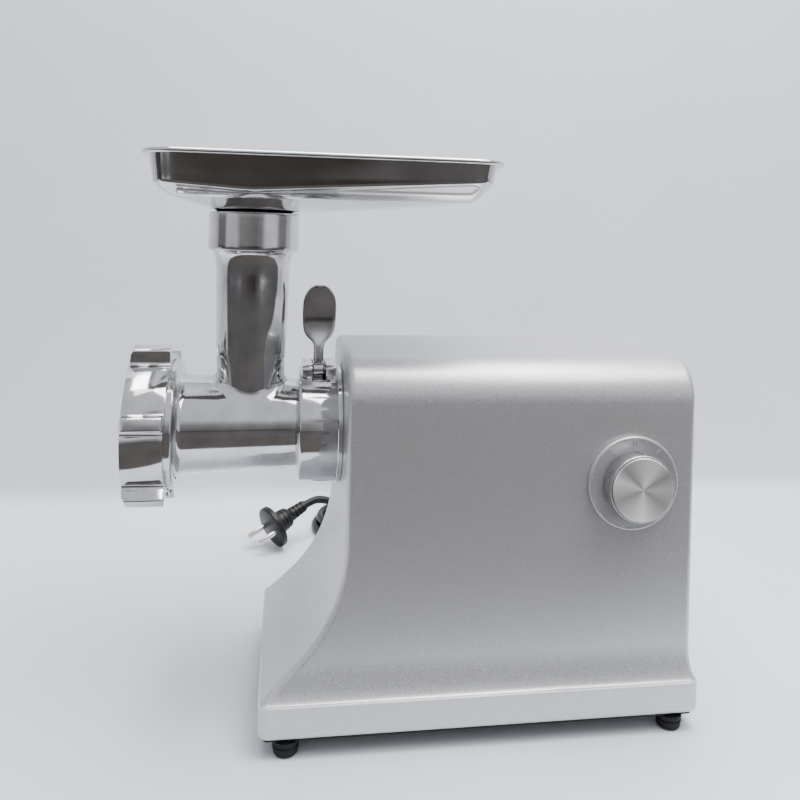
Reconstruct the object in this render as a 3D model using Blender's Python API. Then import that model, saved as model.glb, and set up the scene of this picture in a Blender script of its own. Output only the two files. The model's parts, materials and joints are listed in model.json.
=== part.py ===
"""Electric meat grinder, built as separate pieces. Metres, +Z up.

The head's screw axis runs along X and points to -X. Sizes along X are first counted from the
front edge of the base, and the grinder_frame empty then moves everything so that the origin is
under the middle of the object, on the surface that it stands on.
"""

import math

import bmesh
import bpy
from mathutils import Matrix, Vector

# Clearances
GAP = 0.0003  # between pieces that touch
RUN = 0.0004  # round a piece that turns
SLIDE = 0.0005  # round the head's spigot in its sleeve
OVERRUN = 0.0100  # how far a cutter goes past what it cuts

# Body, with x counted from the base's front edge
BODY_FRONT = 0.0467
BODY_BACK = 0.2585
BODY_WIDTH = 0.1360
BODY_RISE = 0.0110
BODY_WALL = 0.0028
TOP_ROUND = 0.0245
END_ROUND = 0.0045
INNER_ROUND = 0.0012
FLARE_RADIUS = 0.0900
FLARE_ANGLE = math.radians(46.0)
FLARE_FOOT = 0.0008
SKIRT_HEIGHT = 0.0205
SKIRT_INSET = 0.0006
SKIRT_SPREAD = 0.0068
SKIRT_BACK = 0.0030
PANEL_MARGIN = 0.0075
VENT_COUNT = 7
VENT_LOW = 0.0980
VENT_PITCH = 0.0095
VENT_HEIGHT = 0.0042
VENT_HALF_WIDTH = 0.0300
CORD_HOLE_RADIUS = 0.0062

# Base
BASE_LOW = 0.0102
BASE_HIGH = 0.0293
BASE_CORNER = 0.0065
BASE_EDGE = 0.0040
BASE_RIM = 0.0008
BASE_WALL = 0.0030
WINDOW_FRONT = 0.1160
WINDOW_LENGTH = 0.0680
WINDOW_HALF_WIDTH = 0.0450
WINDOW_CORNER = 0.0060
PLATE_THICK = 0.0030
PLATE_SINK = 0.0012
PLATE_CORNER = 0.0030
SLOT_COUNT = 6
SLOT_PITCH = 0.0105
SLOT_WIDTH = 0.0048
SLOT_HALF_LENGTH = 0.0280
FOOT_RADIUS = 0.0078
FOOT_INSET_X = 0.0160
FOOT_INSET_Y = 0.0085
FOOT_CHAMFER = 0.0018

# Head
AXIS_Z = 0.1690
HEAD_LENGTH = 0.1266
HEAD_SHORT = 0.0035
HEAD_WALL = 0.0070
BORE_RADIUS = 0.0245
BARREL_WALL = 0.0031
BARREL_STEP = 0.0002
BARREL_TAPER = 0.0027
BARREL_SHOULDER = 0.0090
MOUTH_BORE = 0.0350
MOUTH_WALL = 0.0047
MOUTH_SET = 0.0019
MOUTH_BACK = 0.0040
CHAMBER_SPARE = 0.0018
BUSH_RADIUS = 0.0110
NECK_BACK = 0.0721
NECK_BORE = 0.0182
NECK_WALL = 0.0033
NECK_TAPER = 0.0025
NECK_RISE = 0.1050
CUP_FLARE = 0.0056
CUP_HEIGHT = 0.0244
CUP_WALL = 0.0043
CUP_SPARE = 0.0010
EDGE = 0.0010

# Ring nut
RING_WIDTH = 0.0244
RING_WALL = 0.0043
RING_COVER = 0.0035
RING_LIP = 0.0040
RING_SLOPE = 0.0045
LOBE_COUNT = 6
LOBE_PROUD = 0.0090
LOBE_WIDTH = 0.0085
LOBE_FIRST = math.radians(-133.0)
LOBE_FOOT = 0.0020
LOBE_CORNER = 0.0015

# Cutting parts and screw
PLATE_DISC_THICK = 0.0055
PLATE_HOLE_RADIUS = 0.0026
PLATE_HOLE_ROWS = ((6, 0.0107), (12, 0.0183), (17, 0.0258))
KEY_WIDTH = 0.0040
KEY_HEIGHT = 0.0026
KEY_LENGTH = 0.0027
KNIFE_THICK = 0.0052
KNIFE_SHORT = 0.0050
KNIFE_HUB = 0.0105
KNIFE_LEAD = 0.0062
KNIFE_TRAIL = 0.0052
SQUARE_SIDE = 0.0100
PIN_RADIUS = 0.0045
SCREW_CLEARANCE = 0.0006
SCREW_ROOT = 0.0100
SCREW_FIN = 0.0040
SCREW_ENDS = 0.0035
SCREW_TURNS = 3.2
JOURNAL_RADIUS = 0.0080
TANG_SIDE = 0.0110
TANG_REACH = 0.0087

# Sleeve and lever
SLEEVE_LENGTH = 0.0272
SLEEVE_WALL = 0.0087
SLEEVE_EDGE = 0.0020
SLEEVE_STEP = 0.0028
SLEEVE_SPIGOT_WALL = 0.0040
SLEEVE_END_BORE = 0.0150
COLLAR_PROUD = 0.0008
COLLAR_WIDTH = 0.0030
BOSS_HALF_WIDTH = 0.0165
BOSS_RISE = 0.0027
BOSS_EDGE = 0.0030
BOSS_SET = 0.0016
LEVER_BACK = 0.0123
LEVER_STEM = 0.0068
LEVER_SINK = 0.0051
LEVER_CAM = 0.0058
LEVER_LENGTH = 0.0554
LEVER_FLOOR = 0.0042
LEVER_PIN_RADIUS = 0.0016
LEVER_PIN_SHORT = 0.0035
SLOT_SIDE = 0.0011
SLOT_ROUND_CAM = 0.0012

# Tray
TRAY_LENGTH = 0.2100
TRAY_WIDTH = 0.1500
TRAY_AHEAD = 0.0615
TRAY_CORNER = 0.0215
TRAY_DEPTH = 0.0329
TRAY_LIP = 0.0030
TRAY_SHEET = 0.0010
TRAY_SPOUT_RADIUS = 0.0238
TRAY_SPOUT_WALL = 0.0016
TRAY_SPOUT_LENGTH = 0.0130
TRAY_CREASE = 0.0104
TRAY_CREASE_SLOPE = 0.0620
TRAY_BAND = 0.0110
TRAY_BAND_DROP = 0.0048
TRAY_BAND_SLOPE = 0.0200

# Dial and knob
DIAL_AHEAD = 0.0408
DIAL_DROP = 0.0714
DIAL_RADIUS = 0.0280
DIAL_THICK = 0.0030
KNOB_RADIUS = 0.0198
KNOB_HEIGHT = 0.0112
KNOB_RIM = 0.0012
KNOB_SPINDLE = 0.0030
SPINDLE_HOLE = 0.0012
CAP_PROUD = 0.0006
CAP_THICK = 0.0014
SWITCH_SIDE = 0.0260
SWITCH_DEPTH = 0.0180

# Drive
OUTPUT_TEETH = 56
OUTPUT_MODULE = 0.00130
PINION_TEETH = 12
WHEEL_TEETH = 48
WHEEL_MODULE = 0.00095
WHEEL_WIDTH = 0.0080
ROTOR_TEETH = 10
ROTOR_TOOTH_LENGTH = 0.0110
MESH_PLAY = 0.00025
GEAR_WIDTH = 0.0110
GEAR_START = 0.0022
GEAR_STEP = 0.0030
SHAFT_RADIUS = 0.0125
SHAFT_STEP = 0.0040
SHAFT_TAIL_RADIUS = 0.0062
CASE_BEHIND_FRONT = 0.0036
CASE_WALL = 0.0035
CASE_ROUND = 0.0090
CASE_SPARE = 0.0040
CASE_SEAT = 0.0020
COVER_THICK = 0.0050
CASE_DEPTH = 0.0430
BUSH_WALL = 0.0042
IDLER_PIN_RADIUS = 0.0040
ROTOR_SHAFT_RADIUS = 0.0035
ROTOR_RADIUS = 0.0205
ROTOR_SLOTS = 12
ROTOR_SLOT_DEPTH = 0.0050
STATOR_RADIUS = 0.0330
STATOR_LENGTH = 0.0360
STATOR_AHEAD = 0.0160
STATOR_BEHIND = 0.0300
AIR_GAP = 0.0010
FIELD_HALF_ANGLE = 58
FIELD_THICK = 0.0067
FIELD_INSET = 0.0030
BRACKET_THICK = 0.0040
BRACKET_HALF_WIDTH = 0.0340
BRACKET_CORNER = 0.0120
BEARING_RADIUS = 0.0085
BEARING_WIDTH = 0.0050
COMMUTATOR_RADIUS = 0.0100
COMMUTATOR_START = 0.0080
COMMUTATOR_LENGTH = 0.0130
BRUSH_HALF_WIDTH = 0.0045
BRUSH_HALF_HEIGHT = 0.0040
FAN_RADIUS = 0.0300
FAN_HUB = 0.0090
FAN_BLADES = 8
FAN_BLADE_HALF = 0.0009
FAN_WIDTH = 0.0110
FAN_DISC = 0.0018
FAN_START = 0.0030
SHAFT_END = 0.0170

# Cord
CORD_RADIUS = 0.0035
CORD_REST = 0.0001
CORD_JACKET = 0.0010
GLAND_Y = 0.0450
GLAND_Z = 0.0560
GLAND_LENGTH = 0.0240
GLAND_FLANGE_RADIUS = 0.0078
GLAND_NECK_RADIUS = 0.0062
COIL_X = 0.0900
COIL_Y = 0.2580
COIL_INNER = 0.0295
COIL_OUTER = 0.0505
COIL_HEIGHT = 0.0134
PLUG_CENTRE = Vector((0.0041, 0.2143, 0.0193))
PLUG_TAIL = Vector((0.0334, 0.2325, 0.0323))
PLUG_FLANGE_RADIUS = 0.01925
PLUG_PIN_RADIUS = 0.0024
PLUG_PIN_END = 0.0215
PLUG_PIN_SIDE = 0.0095

# Places worked out from the sizes above
BASE_LENGTH = BODY_BACK + SKIRT_BACK
HALF_BODY = BODY_WIDTH / 2
HALF_BASE = HALF_BODY + SKIRT_SPREAD
HEAD_REAR = BODY_FRONT - HEAD_SHORT
SPIGOT_RADIUS = BORE_RADIUS + BARREL_WALL
BARREL_REAR_RADIUS = SPIGOT_RADIUS + BARREL_STEP
BARREL_FRONT_RADIUS = BARREL_REAR_RADIUS + BARREL_TAPER
MOUTH_RADIUS = MOUTH_BORE + MOUTH_WALL
RING_FRONT = HEAD_REAR - HEAD_LENGTH
RING_REAR = RING_FRONT + RING_WIDTH
RING_RADIUS = MOUTH_RADIUS + RING_WALL
RING_OPENING = MOUTH_BORE - RING_COVER
LOBE_RADIUS = RING_RADIUS + LOBE_PROUD
BARREL_FRONT = RING_REAR + BARREL_SHOULDER
MOUTH_FRONT = RING_FRONT + RING_LIP + MOUTH_SET
PLATE_FRONT = RING_FRONT + RING_LIP + GAP
KNIFE_FRONT = PLATE_FRONT + PLATE_DISC_THICK + GAP
KNIFE_REACH = MOUTH_BORE - KNIFE_SHORT
SCREW_SHOULDER = KNIFE_FRONT + KNIFE_THICK + GAP
CHAMBER_REAR = SCREW_SHOULDER + CHAMBER_SPARE
NECK_X = RING_FRONT + NECK_BACK
NECK_LOW_RADIUS = NECK_BORE + NECK_WALL
NECK_HIGH_RADIUS = NECK_LOW_RADIUS + NECK_TAPER
NECK_TOP = AXIS_Z + NECK_RISE
CUP_LOW = NECK_TOP + CUP_FLARE
CUP_TOP = CUP_LOW + CUP_HEIGHT
CUP_BORE = TRAY_SPOUT_RADIUS + 2 * GAP
CUP_RADIUS = CUP_BORE + CUP_WALL
CUP_FLOOR = CUP_TOP - TRAY_SPOUT_LENGTH - CUP_SPARE
SLEEVE_FRONT = BODY_FRONT - SLEEVE_LENGTH
SLEEVE_RADIUS = SPIGOT_RADIUS + SLIDE + SLEEVE_WALL
SLEEVE_STEP_RADIUS = SLEEVE_RADIUS - SLEEVE_STEP
SLEEVE_SPIGOT_RADIUS = SLEEVE_STEP_RADIUS - SLEEVE_SPIGOT_WALL
COLLAR_RADIUS = SLEEVE_RADIUS + COLLAR_PROUD
BOSS_TOP = AXIS_Z + SLEEVE_RADIUS + BOSS_RISE
BODY_TOP = BOSS_TOP + BODY_RISE
FLARE_REST = (BODY_FRONT - FLARE_FOOT) / math.tan(FLARE_ANGLE)
FLARE_SHARE = math.sin(FLARE_ANGLE) - (1 - math.cos(FLARE_ANGLE)) / math.tan(FLARE_ANGLE)
FLARE_ROOM = AXIS_Z - COLLAR_RADIUS - GAP - BASE_HIGH - FLARE_REST
FLARE = min(FLARE_RADIUS, FLARE_ROOM / FLARE_SHARE)
LEVER_X = SLEEVE_FRONT + LEVER_BACK
LEVER_AXIS_Z = BOSS_TOP - LEVER_SINK
TRAY_FRONT = NECK_X - TRAY_AHEAD
TRAY_FLOOR_Z = CUP_TOP + 2 * GAP
TRAY_CREASE_Z = TRAY_FLOOR_Z + TRAY_CREASE
TRAY_RIM_Z = TRAY_FLOOR_Z + TRAY_DEPTH
TRAY_SPOUT_BORE = TRAY_SPOUT_RADIUS - TRAY_SPOUT_WALL
DIAL_X = BODY_BACK - DIAL_AHEAD
DIAL_Z = BODY_TOP - DIAL_DROP
CASE_FRONT = BODY_FRONT + CASE_BEHIND_FRONT
TANG_END = CASE_FRONT + TANG_REACH
OUTPUT_PITCH = OUTPUT_TEETH * OUTPUT_MODULE / 2
PINION_PITCH = PINION_TEETH * OUTPUT_MODULE / 2
WHEEL_PITCH = WHEEL_TEETH * WHEEL_MODULE / 2
ROTOR_PITCH = ROTOR_TEETH * WHEEL_MODULE / 2
IDLER_Z = AXIS_Z - OUTPUT_PITCH - PINION_PITCH - MESH_PLAY
ROTOR_Z = IDLER_Z - WHEEL_PITCH - ROTOR_PITCH - MESH_PLAY
DIAL_FACE = -HALF_BODY - GAP
KNOB_BACK = DIAL_FACE - DIAL_THICK - GAP
KNOB_FACE = KNOB_BACK - KNOB_HEIGHT - CAP_PROUD
CAP_RADIUS = KNOB_RADIUS - KNOB_RIM
CENTRE_X = (RING_FRONT + BASE_LENGTH) / 2
CENTRE_Y = (KNOB_FACE + max(HALF_BASE, TRAY_WIDTH / 2)) / 2
COVER_BACK = CASE_FRONT + COVER_THICK
CASE_START = COVER_BACK + GAP
CASE_BACK = CASE_START + CASE_DEPTH
HEAD = Vector((0, 0, AXIS_Z))
NECK = Vector((NECK_X, 0, AXIS_Z))
DIAL = Vector((DIAL_X, 0, DIAL_Z))
LEVER = Vector((LEVER_X, 0, LEVER_AXIS_Z))
ROTOR = Vector((0, 0, ROTOR_Z))

AXES = {
    "X": Matrix(((0, 0, 1), (1, 0, 0), (0, 1, 0))).to_4x4(),
    "-Y": Matrix(((1, 0, 0), (0, 0, -1), (0, 1, 0))).to_4x4(),
    "Z": Matrix.Identity(4),
}


# Tools


def clear_scene():
    for obj in list(bpy.data.objects):
        bpy.data.objects.remove(obj, do_unlink=True)


def material(name, colour, metallic=0.0, roughness=0.4):
    made = bpy.data.materials.get(name) or bpy.data.materials.new(name)
    made.use_nodes = True
    shader = made.node_tree.nodes["Principled BSDF"]
    shader.inputs["Base Color"].default_value = (*colour, 1.0)
    shader.inputs["Metallic"].default_value = metallic
    shader.inputs["Roughness"].default_value = roughness
    return made


def silver_paint():
    return material("silver_paint", (0.60, 0.60, 0.61), 0.55, 0.38)


def chrome():
    return material("polished_metal", (0.80, 0.80, 0.80), 1.0, 0.08)


def steel():
    return material("steel", (0.55, 0.55, 0.56), 1.0, 0.35)


def black_plastic():
    return material("black_plastic", (0.02, 0.02, 0.02), 0.0, 0.45)


def black_rubber():
    return material("black_rubber", (0.015, 0.015, 0.015), 0.0, 0.7)


def white_plastic():
    return material("white_plastic", (0.75, 0.74, 0.70), 0.0, 0.5)


def copper():
    return material("copper", (0.72, 0.36, 0.20), 1.0, 0.35)


def bronze():
    return material("bronze", (0.60, 0.45, 0.22), 1.0, 0.35)


def bearing_steel():
    return material("bearing_steel", (0.65, 0.65, 0.66), 1.0, 0.2)


def empty(name, location, parent=None):
    made = bpy.data.objects.new(name, None)
    bpy.context.scene.collection.objects.link(made)
    made.location = location
    made.parent = parent
    return made


def mesh_object(name, points, faces, look=None, at=(0, 0, 0)):
    """A closed mesh object with its faces turned outwards."""
    mesh = bpy.data.meshes.new(name)
    build = bmesh.new()
    corners = [build.verts.new(p) for p in points]
    for face in faces:
        build.faces.new([corners[i] for i in face])
    bmesh.ops.recalc_face_normals(build, faces=build.faces)
    if build.calc_volume(signed=True) < 0:
        bmesh.ops.reverse_faces(build, faces=build.faces)
    build.to_mesh(mesh)
    build.free()
    mesh.shade_smooth()
    mesh.set_sharp_from_angle(angle=math.radians(32))
    made = bpy.data.objects.new(name, mesh)
    bpy.context.scene.collection.objects.link(made)
    made.location = at
    made.parent = FRAME
    if look:
        mesh.materials.append(look)
    return made


def helper(obj):
    obj.hide_render = True
    obj.display_type = "WIRE"
    return obj


def combine(obj, other, operation):
    step = obj.modifiers.new(other.name, "BOOLEAN")
    step.operation = operation
    step.solver = "EXACT"
    step.object = helper(other)


def cut(obj, *others):
    for other in others:
        combine(obj, other, "DIFFERENCE")


def join(obj, *others):
    for other in others:
        combine(obj, other, "UNION")


def ring_of_faces(rings, count, closed):
    """Quads between rings of equal point count, with end caps unless the rings close on themselves."""
    faces = []
    pairs = len(rings) if closed else len(rings) - 1
    for k in range(pairs):
        a = k * count
        b = ((k + 1) % len(rings)) * count
        for i in range(count):
            j = (i + 1) % count
            faces.append((a + i, a + j, b + j, b + i))
    if not closed:
        last = (len(rings) - 1) * count
        faces.append(tuple(range(count)))
        faces.append(tuple(last + i for i in reversed(range(count))))
    return faces


def loft(name, rings, look=None, at=(0, 0, 0), closed=False):
    points = [p for ring in rings for p in ring]
    return mesh_object(name, points, ring_of_faces(rings, len(rings[0]), closed), look, at)


def circle(radius, count, phase=0.0):
    turn = math.tau / count
    return [(radius * math.cos(phase + turn * i), radius * math.sin(phase + turn * i)) for i in range(count)]


def turned(name, profile, look=None, at=(0, 0, 0), axis="X", sides=32, hollow=False):
    """Turns (distance along the axis, radius) points. A hollow profile is a closed loop."""
    rings = []
    for along, radius in profile:
        ring = [Vector((x, y, along)) for x, y in circle(radius, sides)]
        rings.append([AXES[axis] @ p for p in ring])
    return loft(name, rings, look, at, closed=hollow)


def tube(name, low, high, outer, inner, look=None, at=(0, 0, 0), axis="X", sides=32):
    profile = [(low, inner), (low, outer), (high, outer), (high, inner)]
    return turned(name, profile, look, at, axis, sides, hollow=True)


def rod(name, low, high, radius, look=None, at=(0, 0, 0), axis="X", sides=32):
    return turned(name, [(low, radius), (high, radius)], look, at, axis, sides)


def prism(name, outline, low, high, look=None, at=(0, 0, 0), axis="X"):
    rings = [[AXES[axis] @ Vector((x, y, level)) for x, y in outline] for level in (low, high)]
    return loft(name, rings, look, at)


def block(name, low, high, look=None, at=(0, 0, 0)):
    outline = [(low[0], low[1]), (high[0], low[1]), (high[0], high[1]), (low[0], high[1])]
    return prism(name, outline, low[2], high[2], look, at, "Z")


def rounded_outline(low, high, radius, steps=4):
    """A rectangle in its own plane with round corners."""
    points = []
    centres = (
        (high[0] - radius, high[1] - radius, 0),
        (low[0] + radius, high[1] - radius, 1),
        (low[0] + radius, low[1] + radius, 2),
        (high[0] - radius, low[1] + radius, 3),
    )
    for x, y, quarter in centres:
        for i in range(steps + 1):
            angle = math.pi / 2 * (quarter + i / steps)
            points.append((x + radius * math.cos(angle), y + radius * math.sin(angle)))
    return points


def square_outline(side):
    half = side / 2
    return [(half, half), (-half, half), (-half, -half), (half, -half)]


# Housing


def flare_top():
    """The height where the front face starts to curve forwards. The curve stays under the collar."""
    return BASE_HIGH + FLARE_REST + FLARE * FLARE_SHARE


def front_at(z):
    """How far back the front face is at a height, before the top edge rounds off."""
    below = flare_top() - z
    if below <= 0:
        return BODY_FRONT
    bend = FLARE * math.sin(FLARE_ANGLE)
    if below <= bend:
        return BODY_FRONT - FLARE + math.sqrt(FLARE**2 - below**2)
    start = BODY_FRONT - FLARE * (1 - math.cos(FLARE_ANGLE))
    return start - (below - bend) * math.tan(FLARE_ANGLE)


def skirt_share(z):
    """0 where the sides are upright, 1 where the skirt meets the base."""
    t = min(1.0, max(0.0, (BASE_HIGH + SKIRT_HEIGHT - z) / SKIRT_HEIGHT))
    return 1 - math.sqrt(1 - t * t)


def rounding(z, top, radius):
    """How far an edge round of this radius pulls the outline in at a height."""
    rise = z - (top - radius)
    return radius - math.sqrt(max(0.0, radius**2 - rise**2)) if rise > 0 else 0.0


def housing_levels():
    levels = [BASE_HIGH + GAP, BODY_TOP]
    levels += [BASE_HIGH + SKIRT_HEIGHT * math.sin(math.pi / 2 * i / 5) for i in range(1, 6)]
    levels += [BASE_HIGH + SKIRT_HEIGHT * (1 - math.cos(math.pi / 2 * i / 5)) for i in (1, 2)]
    levels += [flare_top() - FLARE * math.sin(FLARE_ANGLE * i / 7) for i in range(8)]
    levels += [BODY_TOP - TOP_ROUND * (1 - math.sin(math.pi / 2 * i / 7)) for i in range(7)]
    levels += [BODY_TOP - END_ROUND * (1 - math.sin(math.pi / 2 * i / 3)) for i in range(3)]
    kept = []
    for z in sorted(levels):
        if not kept or z - kept[-1] > 0.0008:
            kept.append(z)
    kept[-1] = BODY_TOP
    return kept


def housing_ring(z, inset):
    """The housing's outline at a height, moved inwards by inset."""
    up = min(z + inset, BODY_TOP) if inset else z
    spread = skirt_share(z)
    half = HALF_BODY + (HALF_BASE - SKIRT_INSET - HALF_BODY) * spread
    half -= rounding(up, BODY_TOP, TOP_ROUND) + inset
    back = BODY_BACK + (BASE_LENGTH - SKIRT_INSET - BODY_BACK) * spread
    back -= rounding(up, BODY_TOP, END_ROUND) + inset
    leaning = z < flare_top() - FLARE * math.sin(FLARE_ANGLE)
    lean = inset / math.cos(FLARE_ANGLE) if leaning else inset
    front = front_at(z) + rounding(up, BODY_TOP, END_ROUND) + lean
    radius = max(END_ROUND - inset, INNER_ROUND)
    return [Vector((x, y, z)) for x, y in rounded_outline((front, -half), (back, half), radius, 3)]


def housing_solid(name, inset, look=None):
    if not inset:
        rings = [housing_ring(z, 0) for z in housing_levels()]
        return loft(name, rings, look)
    levels = [BASE_HIGH - inset] + [z for z in housing_levels() if z < BODY_TOP - inset - 0.001]
    rings = [housing_ring(z, inset) for z in levels]
    rings.append(housing_ring(BODY_TOP - inset, inset))
    return loft(name, rings)


def panel_block(name, gap):
    margin = PANEL_MARGIN + gap
    low = (-HALF_BODY + margin, BASE_HIGH + margin)
    high = (HALF_BODY - margin, BODY_TOP - margin)
    outline = rounded_outline(low, high, TOP_ROUND - margin, 5)
    return prism(name, outline, -OVERRUN, BODY_FRONT + OVERRUN)


def make_housing_shell():
    shell = housing_solid("housing_shell", 0, silver_paint())
    cut(shell, housing_solid("shell_inside", BODY_WALL), panel_block("panel_opening", 0))
    low, high = HALF_BODY - OVERRUN, HALF_BODY + OVERRUN
    cut(shell, rod("spindle_hole", low, high, KNOB_SPINDLE + SPINDLE_HOLE, at=DIAL, axis="-Y", sides=16))
    low, high = BODY_BACK - OVERRUN, BODY_BACK + OVERRUN
    cut(shell, rod("cord_hole", low, high, CORD_HOLE_RADIUS, at=(0, GLAND_Y, GLAND_Z), sides=16))
    for i in range(VENT_COUNT):
        z = VENT_LOW + i * VENT_PITCH
        corners = (-VENT_HALF_WIDTH, z), (VENT_HALF_WIDTH, z + VENT_HEIGHT)
        outline = rounded_outline(*corners, 0.48 * VENT_HEIGHT, 2)
        cut(shell, prism(f"vent_{i + 1}", outline, low, high))


def make_front_panel():
    panel = panel_block("front_panel", GAP)
    panel.data.materials.append(silver_paint())
    combine(panel, housing_solid("panel_outside", 0), "INTERSECT")
    cut(panel, housing_solid("panel_inside", BODY_WALL))
    low, high = BODY_FRONT - OVERRUN, BODY_FRONT + OVERRUN
    cut(panel, rod("sleeve_hole", low, high, SLEEVE_SPIGOT_RADIUS + GAP, at=HEAD, sides=40))


def base_ring(z, inset):
    low = (inset, -HALF_BASE + inset)
    high = (BASE_LENGTH - inset, HALF_BASE - inset)
    radius = max(BASE_CORNER - inset, EDGE)
    return [Vector((x, y, z)) for x, y in rounded_outline(low, high, radius, 5)]


def make_base_plinth():
    rings = []
    for i in range(5):
        angle = math.pi / 2 * (1 - i / 4)
        rise = BASE_EDGE * (1 - math.sin(angle))
        rings.append(base_ring(BASE_LOW + rise, BASE_EDGE * (1 - math.cos(angle))))
    rings.append(base_ring(BASE_HIGH - BASE_RIM, 0))
    rings.append(base_ring(BASE_HIGH, BASE_RIM))
    plinth = loft("base_plinth", rings, silver_paint())
    low = (BASE_WALL, -HALF_BASE + BASE_WALL)
    high = (BASE_LENGTH - BASE_WALL, HALF_BASE - BASE_WALL)
    pocket = rounded_outline(low, high, BASE_CORNER - BASE_WALL, 3)
    cut(plinth, prism("base_pocket", pocket, BASE_LOW - OVERRUN, BASE_HIGH - BASE_WALL, axis="Z"))
    low = (WINDOW_FRONT, -WINDOW_HALF_WIDTH)
    high = (WINDOW_FRONT + WINDOW_LENGTH, WINDOW_HALF_WIDTH)
    window = rounded_outline(low, high, WINDOW_CORNER, 3)
    cut(plinth, prism("base_window", window, 0, BASE_HIGH + OVERRUN, axis="Z"))


def make_base_plate():
    inset = BASE_WALL + GAP
    corners = (inset, -HALF_BASE + inset), (BASE_LENGTH - inset, HALF_BASE - inset)
    low = BASE_LOW - PLATE_SINK
    high = low + PLATE_THICK
    outline = rounded_outline(*corners, PLATE_CORNER, 3)
    plate = prism("base_plate", outline, low, high, black_plastic(), axis="Z")
    spare = (WINDOW_LENGTH - (SLOT_COUNT - 1) * SLOT_PITCH - SLOT_WIDTH) / 2
    for i in range(SLOT_COUNT):
        x = WINDOW_FRONT + spare + i * SLOT_PITCH
        corners = (x, -SLOT_HALF_LENGTH), (x + SLOT_WIDTH, SLOT_HALF_LENGTH)
        slot = rounded_outline(*corners, 0.48 * SLOT_WIDTH, 2)
        cut(plate, prism(f"plate_slot_{i + 1}", slot, low - OVERRUN, high + OVERRUN, axis="Z"))


def foot_places():
    for front in (True, False):
        for side in (-1, 1):
            x = FOOT_INSET_X if front else BASE_LENGTH - FOOT_INSET_X
            name = f"foot_{'front' if front else 'rear'}_{'near' if side < 0 else 'far'}"
            yield name, x, side * (HALF_BASE - FOOT_INSET_Y)


def make_feet():
    top = BASE_LOW - PLATE_SINK - GAP
    profile = [(0, FOOT_RADIUS - FOOT_CHAMFER), (EDGE, FOOT_RADIUS - FOOT_CHAMFER / 2), (top, FOOT_RADIUS)]
    for name, x, y in foot_places():
        turned(name, profile, black_rubber(), (x, y, 0), "Z", 20)


# Dial, knob and switch


def make_dial_ring():
    back = -DIAL_FACE
    face = back + DIAL_THICK
    bore = KNOB_SPINDLE + SPINDLE_HOLE
    profile = [(back, DIAL_RADIUS), (face - EDGE, DIAL_RADIUS), (face, DIAL_RADIUS - EDGE)]
    profile += [(face, bore), (back, bore)]
    turned("dial_ring", profile, silver_paint(), DIAL, "-Y", 32, hollow=True)


def make_knob():
    back = -KNOB_BACK
    face = back + KNOB_HEIGHT
    floor = face - CAP_THICK + CAP_PROUD - GAP
    bore_end = floor - CAP_THICK
    profile = [(back, KNOB_SPINDLE + GAP), (back, KNOB_RADIUS), (face - 2 * GAP, KNOB_RADIUS)]
    profile += [(face, KNOB_RADIUS - 2 * GAP), (face, CAP_RADIUS + GAP), (floor, CAP_RADIUS + GAP)]
    profile += [(floor, GAP), (bore_end, GAP), (bore_end, KNOB_SPINDLE + GAP)]
    turned("control_knob", profile, silver_paint(), DIAL, "-Y", 28, hollow=True)
    front = face + CAP_PROUD
    cap = [(front - CAP_THICK, CAP_RADIUS), (front - GAP, CAP_RADIUS), (front, CAP_RADIUS - GAP)]
    turned("knob_cap", cap, chrome(), DIAL, "-Y", 28)
    inner_end = HALF_BODY - BODY_WALL - SWITCH_DEPTH / 2
    rod("knob_spindle", inner_end, bore_end - GAP, KNOB_SPINDLE, steel(), DIAL, "-Y", 16)


def make_switch():
    front = -(HALF_BODY - BODY_WALL) + GAP
    half = SWITCH_SIDE / 2
    low = (DIAL_X - half, front, DIAL_Z - half)
    high = (DIAL_X + half, front + SWITCH_DEPTH, DIAL_Z + half)
    switch = block("rotary_switch", low, high, black_plastic())
    deep = -front - SWITCH_DEPTH / 2 - EDGE
    bore = rod("switch_bore", deep, -front + OVERRUN, KNOB_SPINDLE + RUN, at=DIAL, axis="-Y", sides=16)
    cut(switch, bore)


# Grinder head


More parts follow.
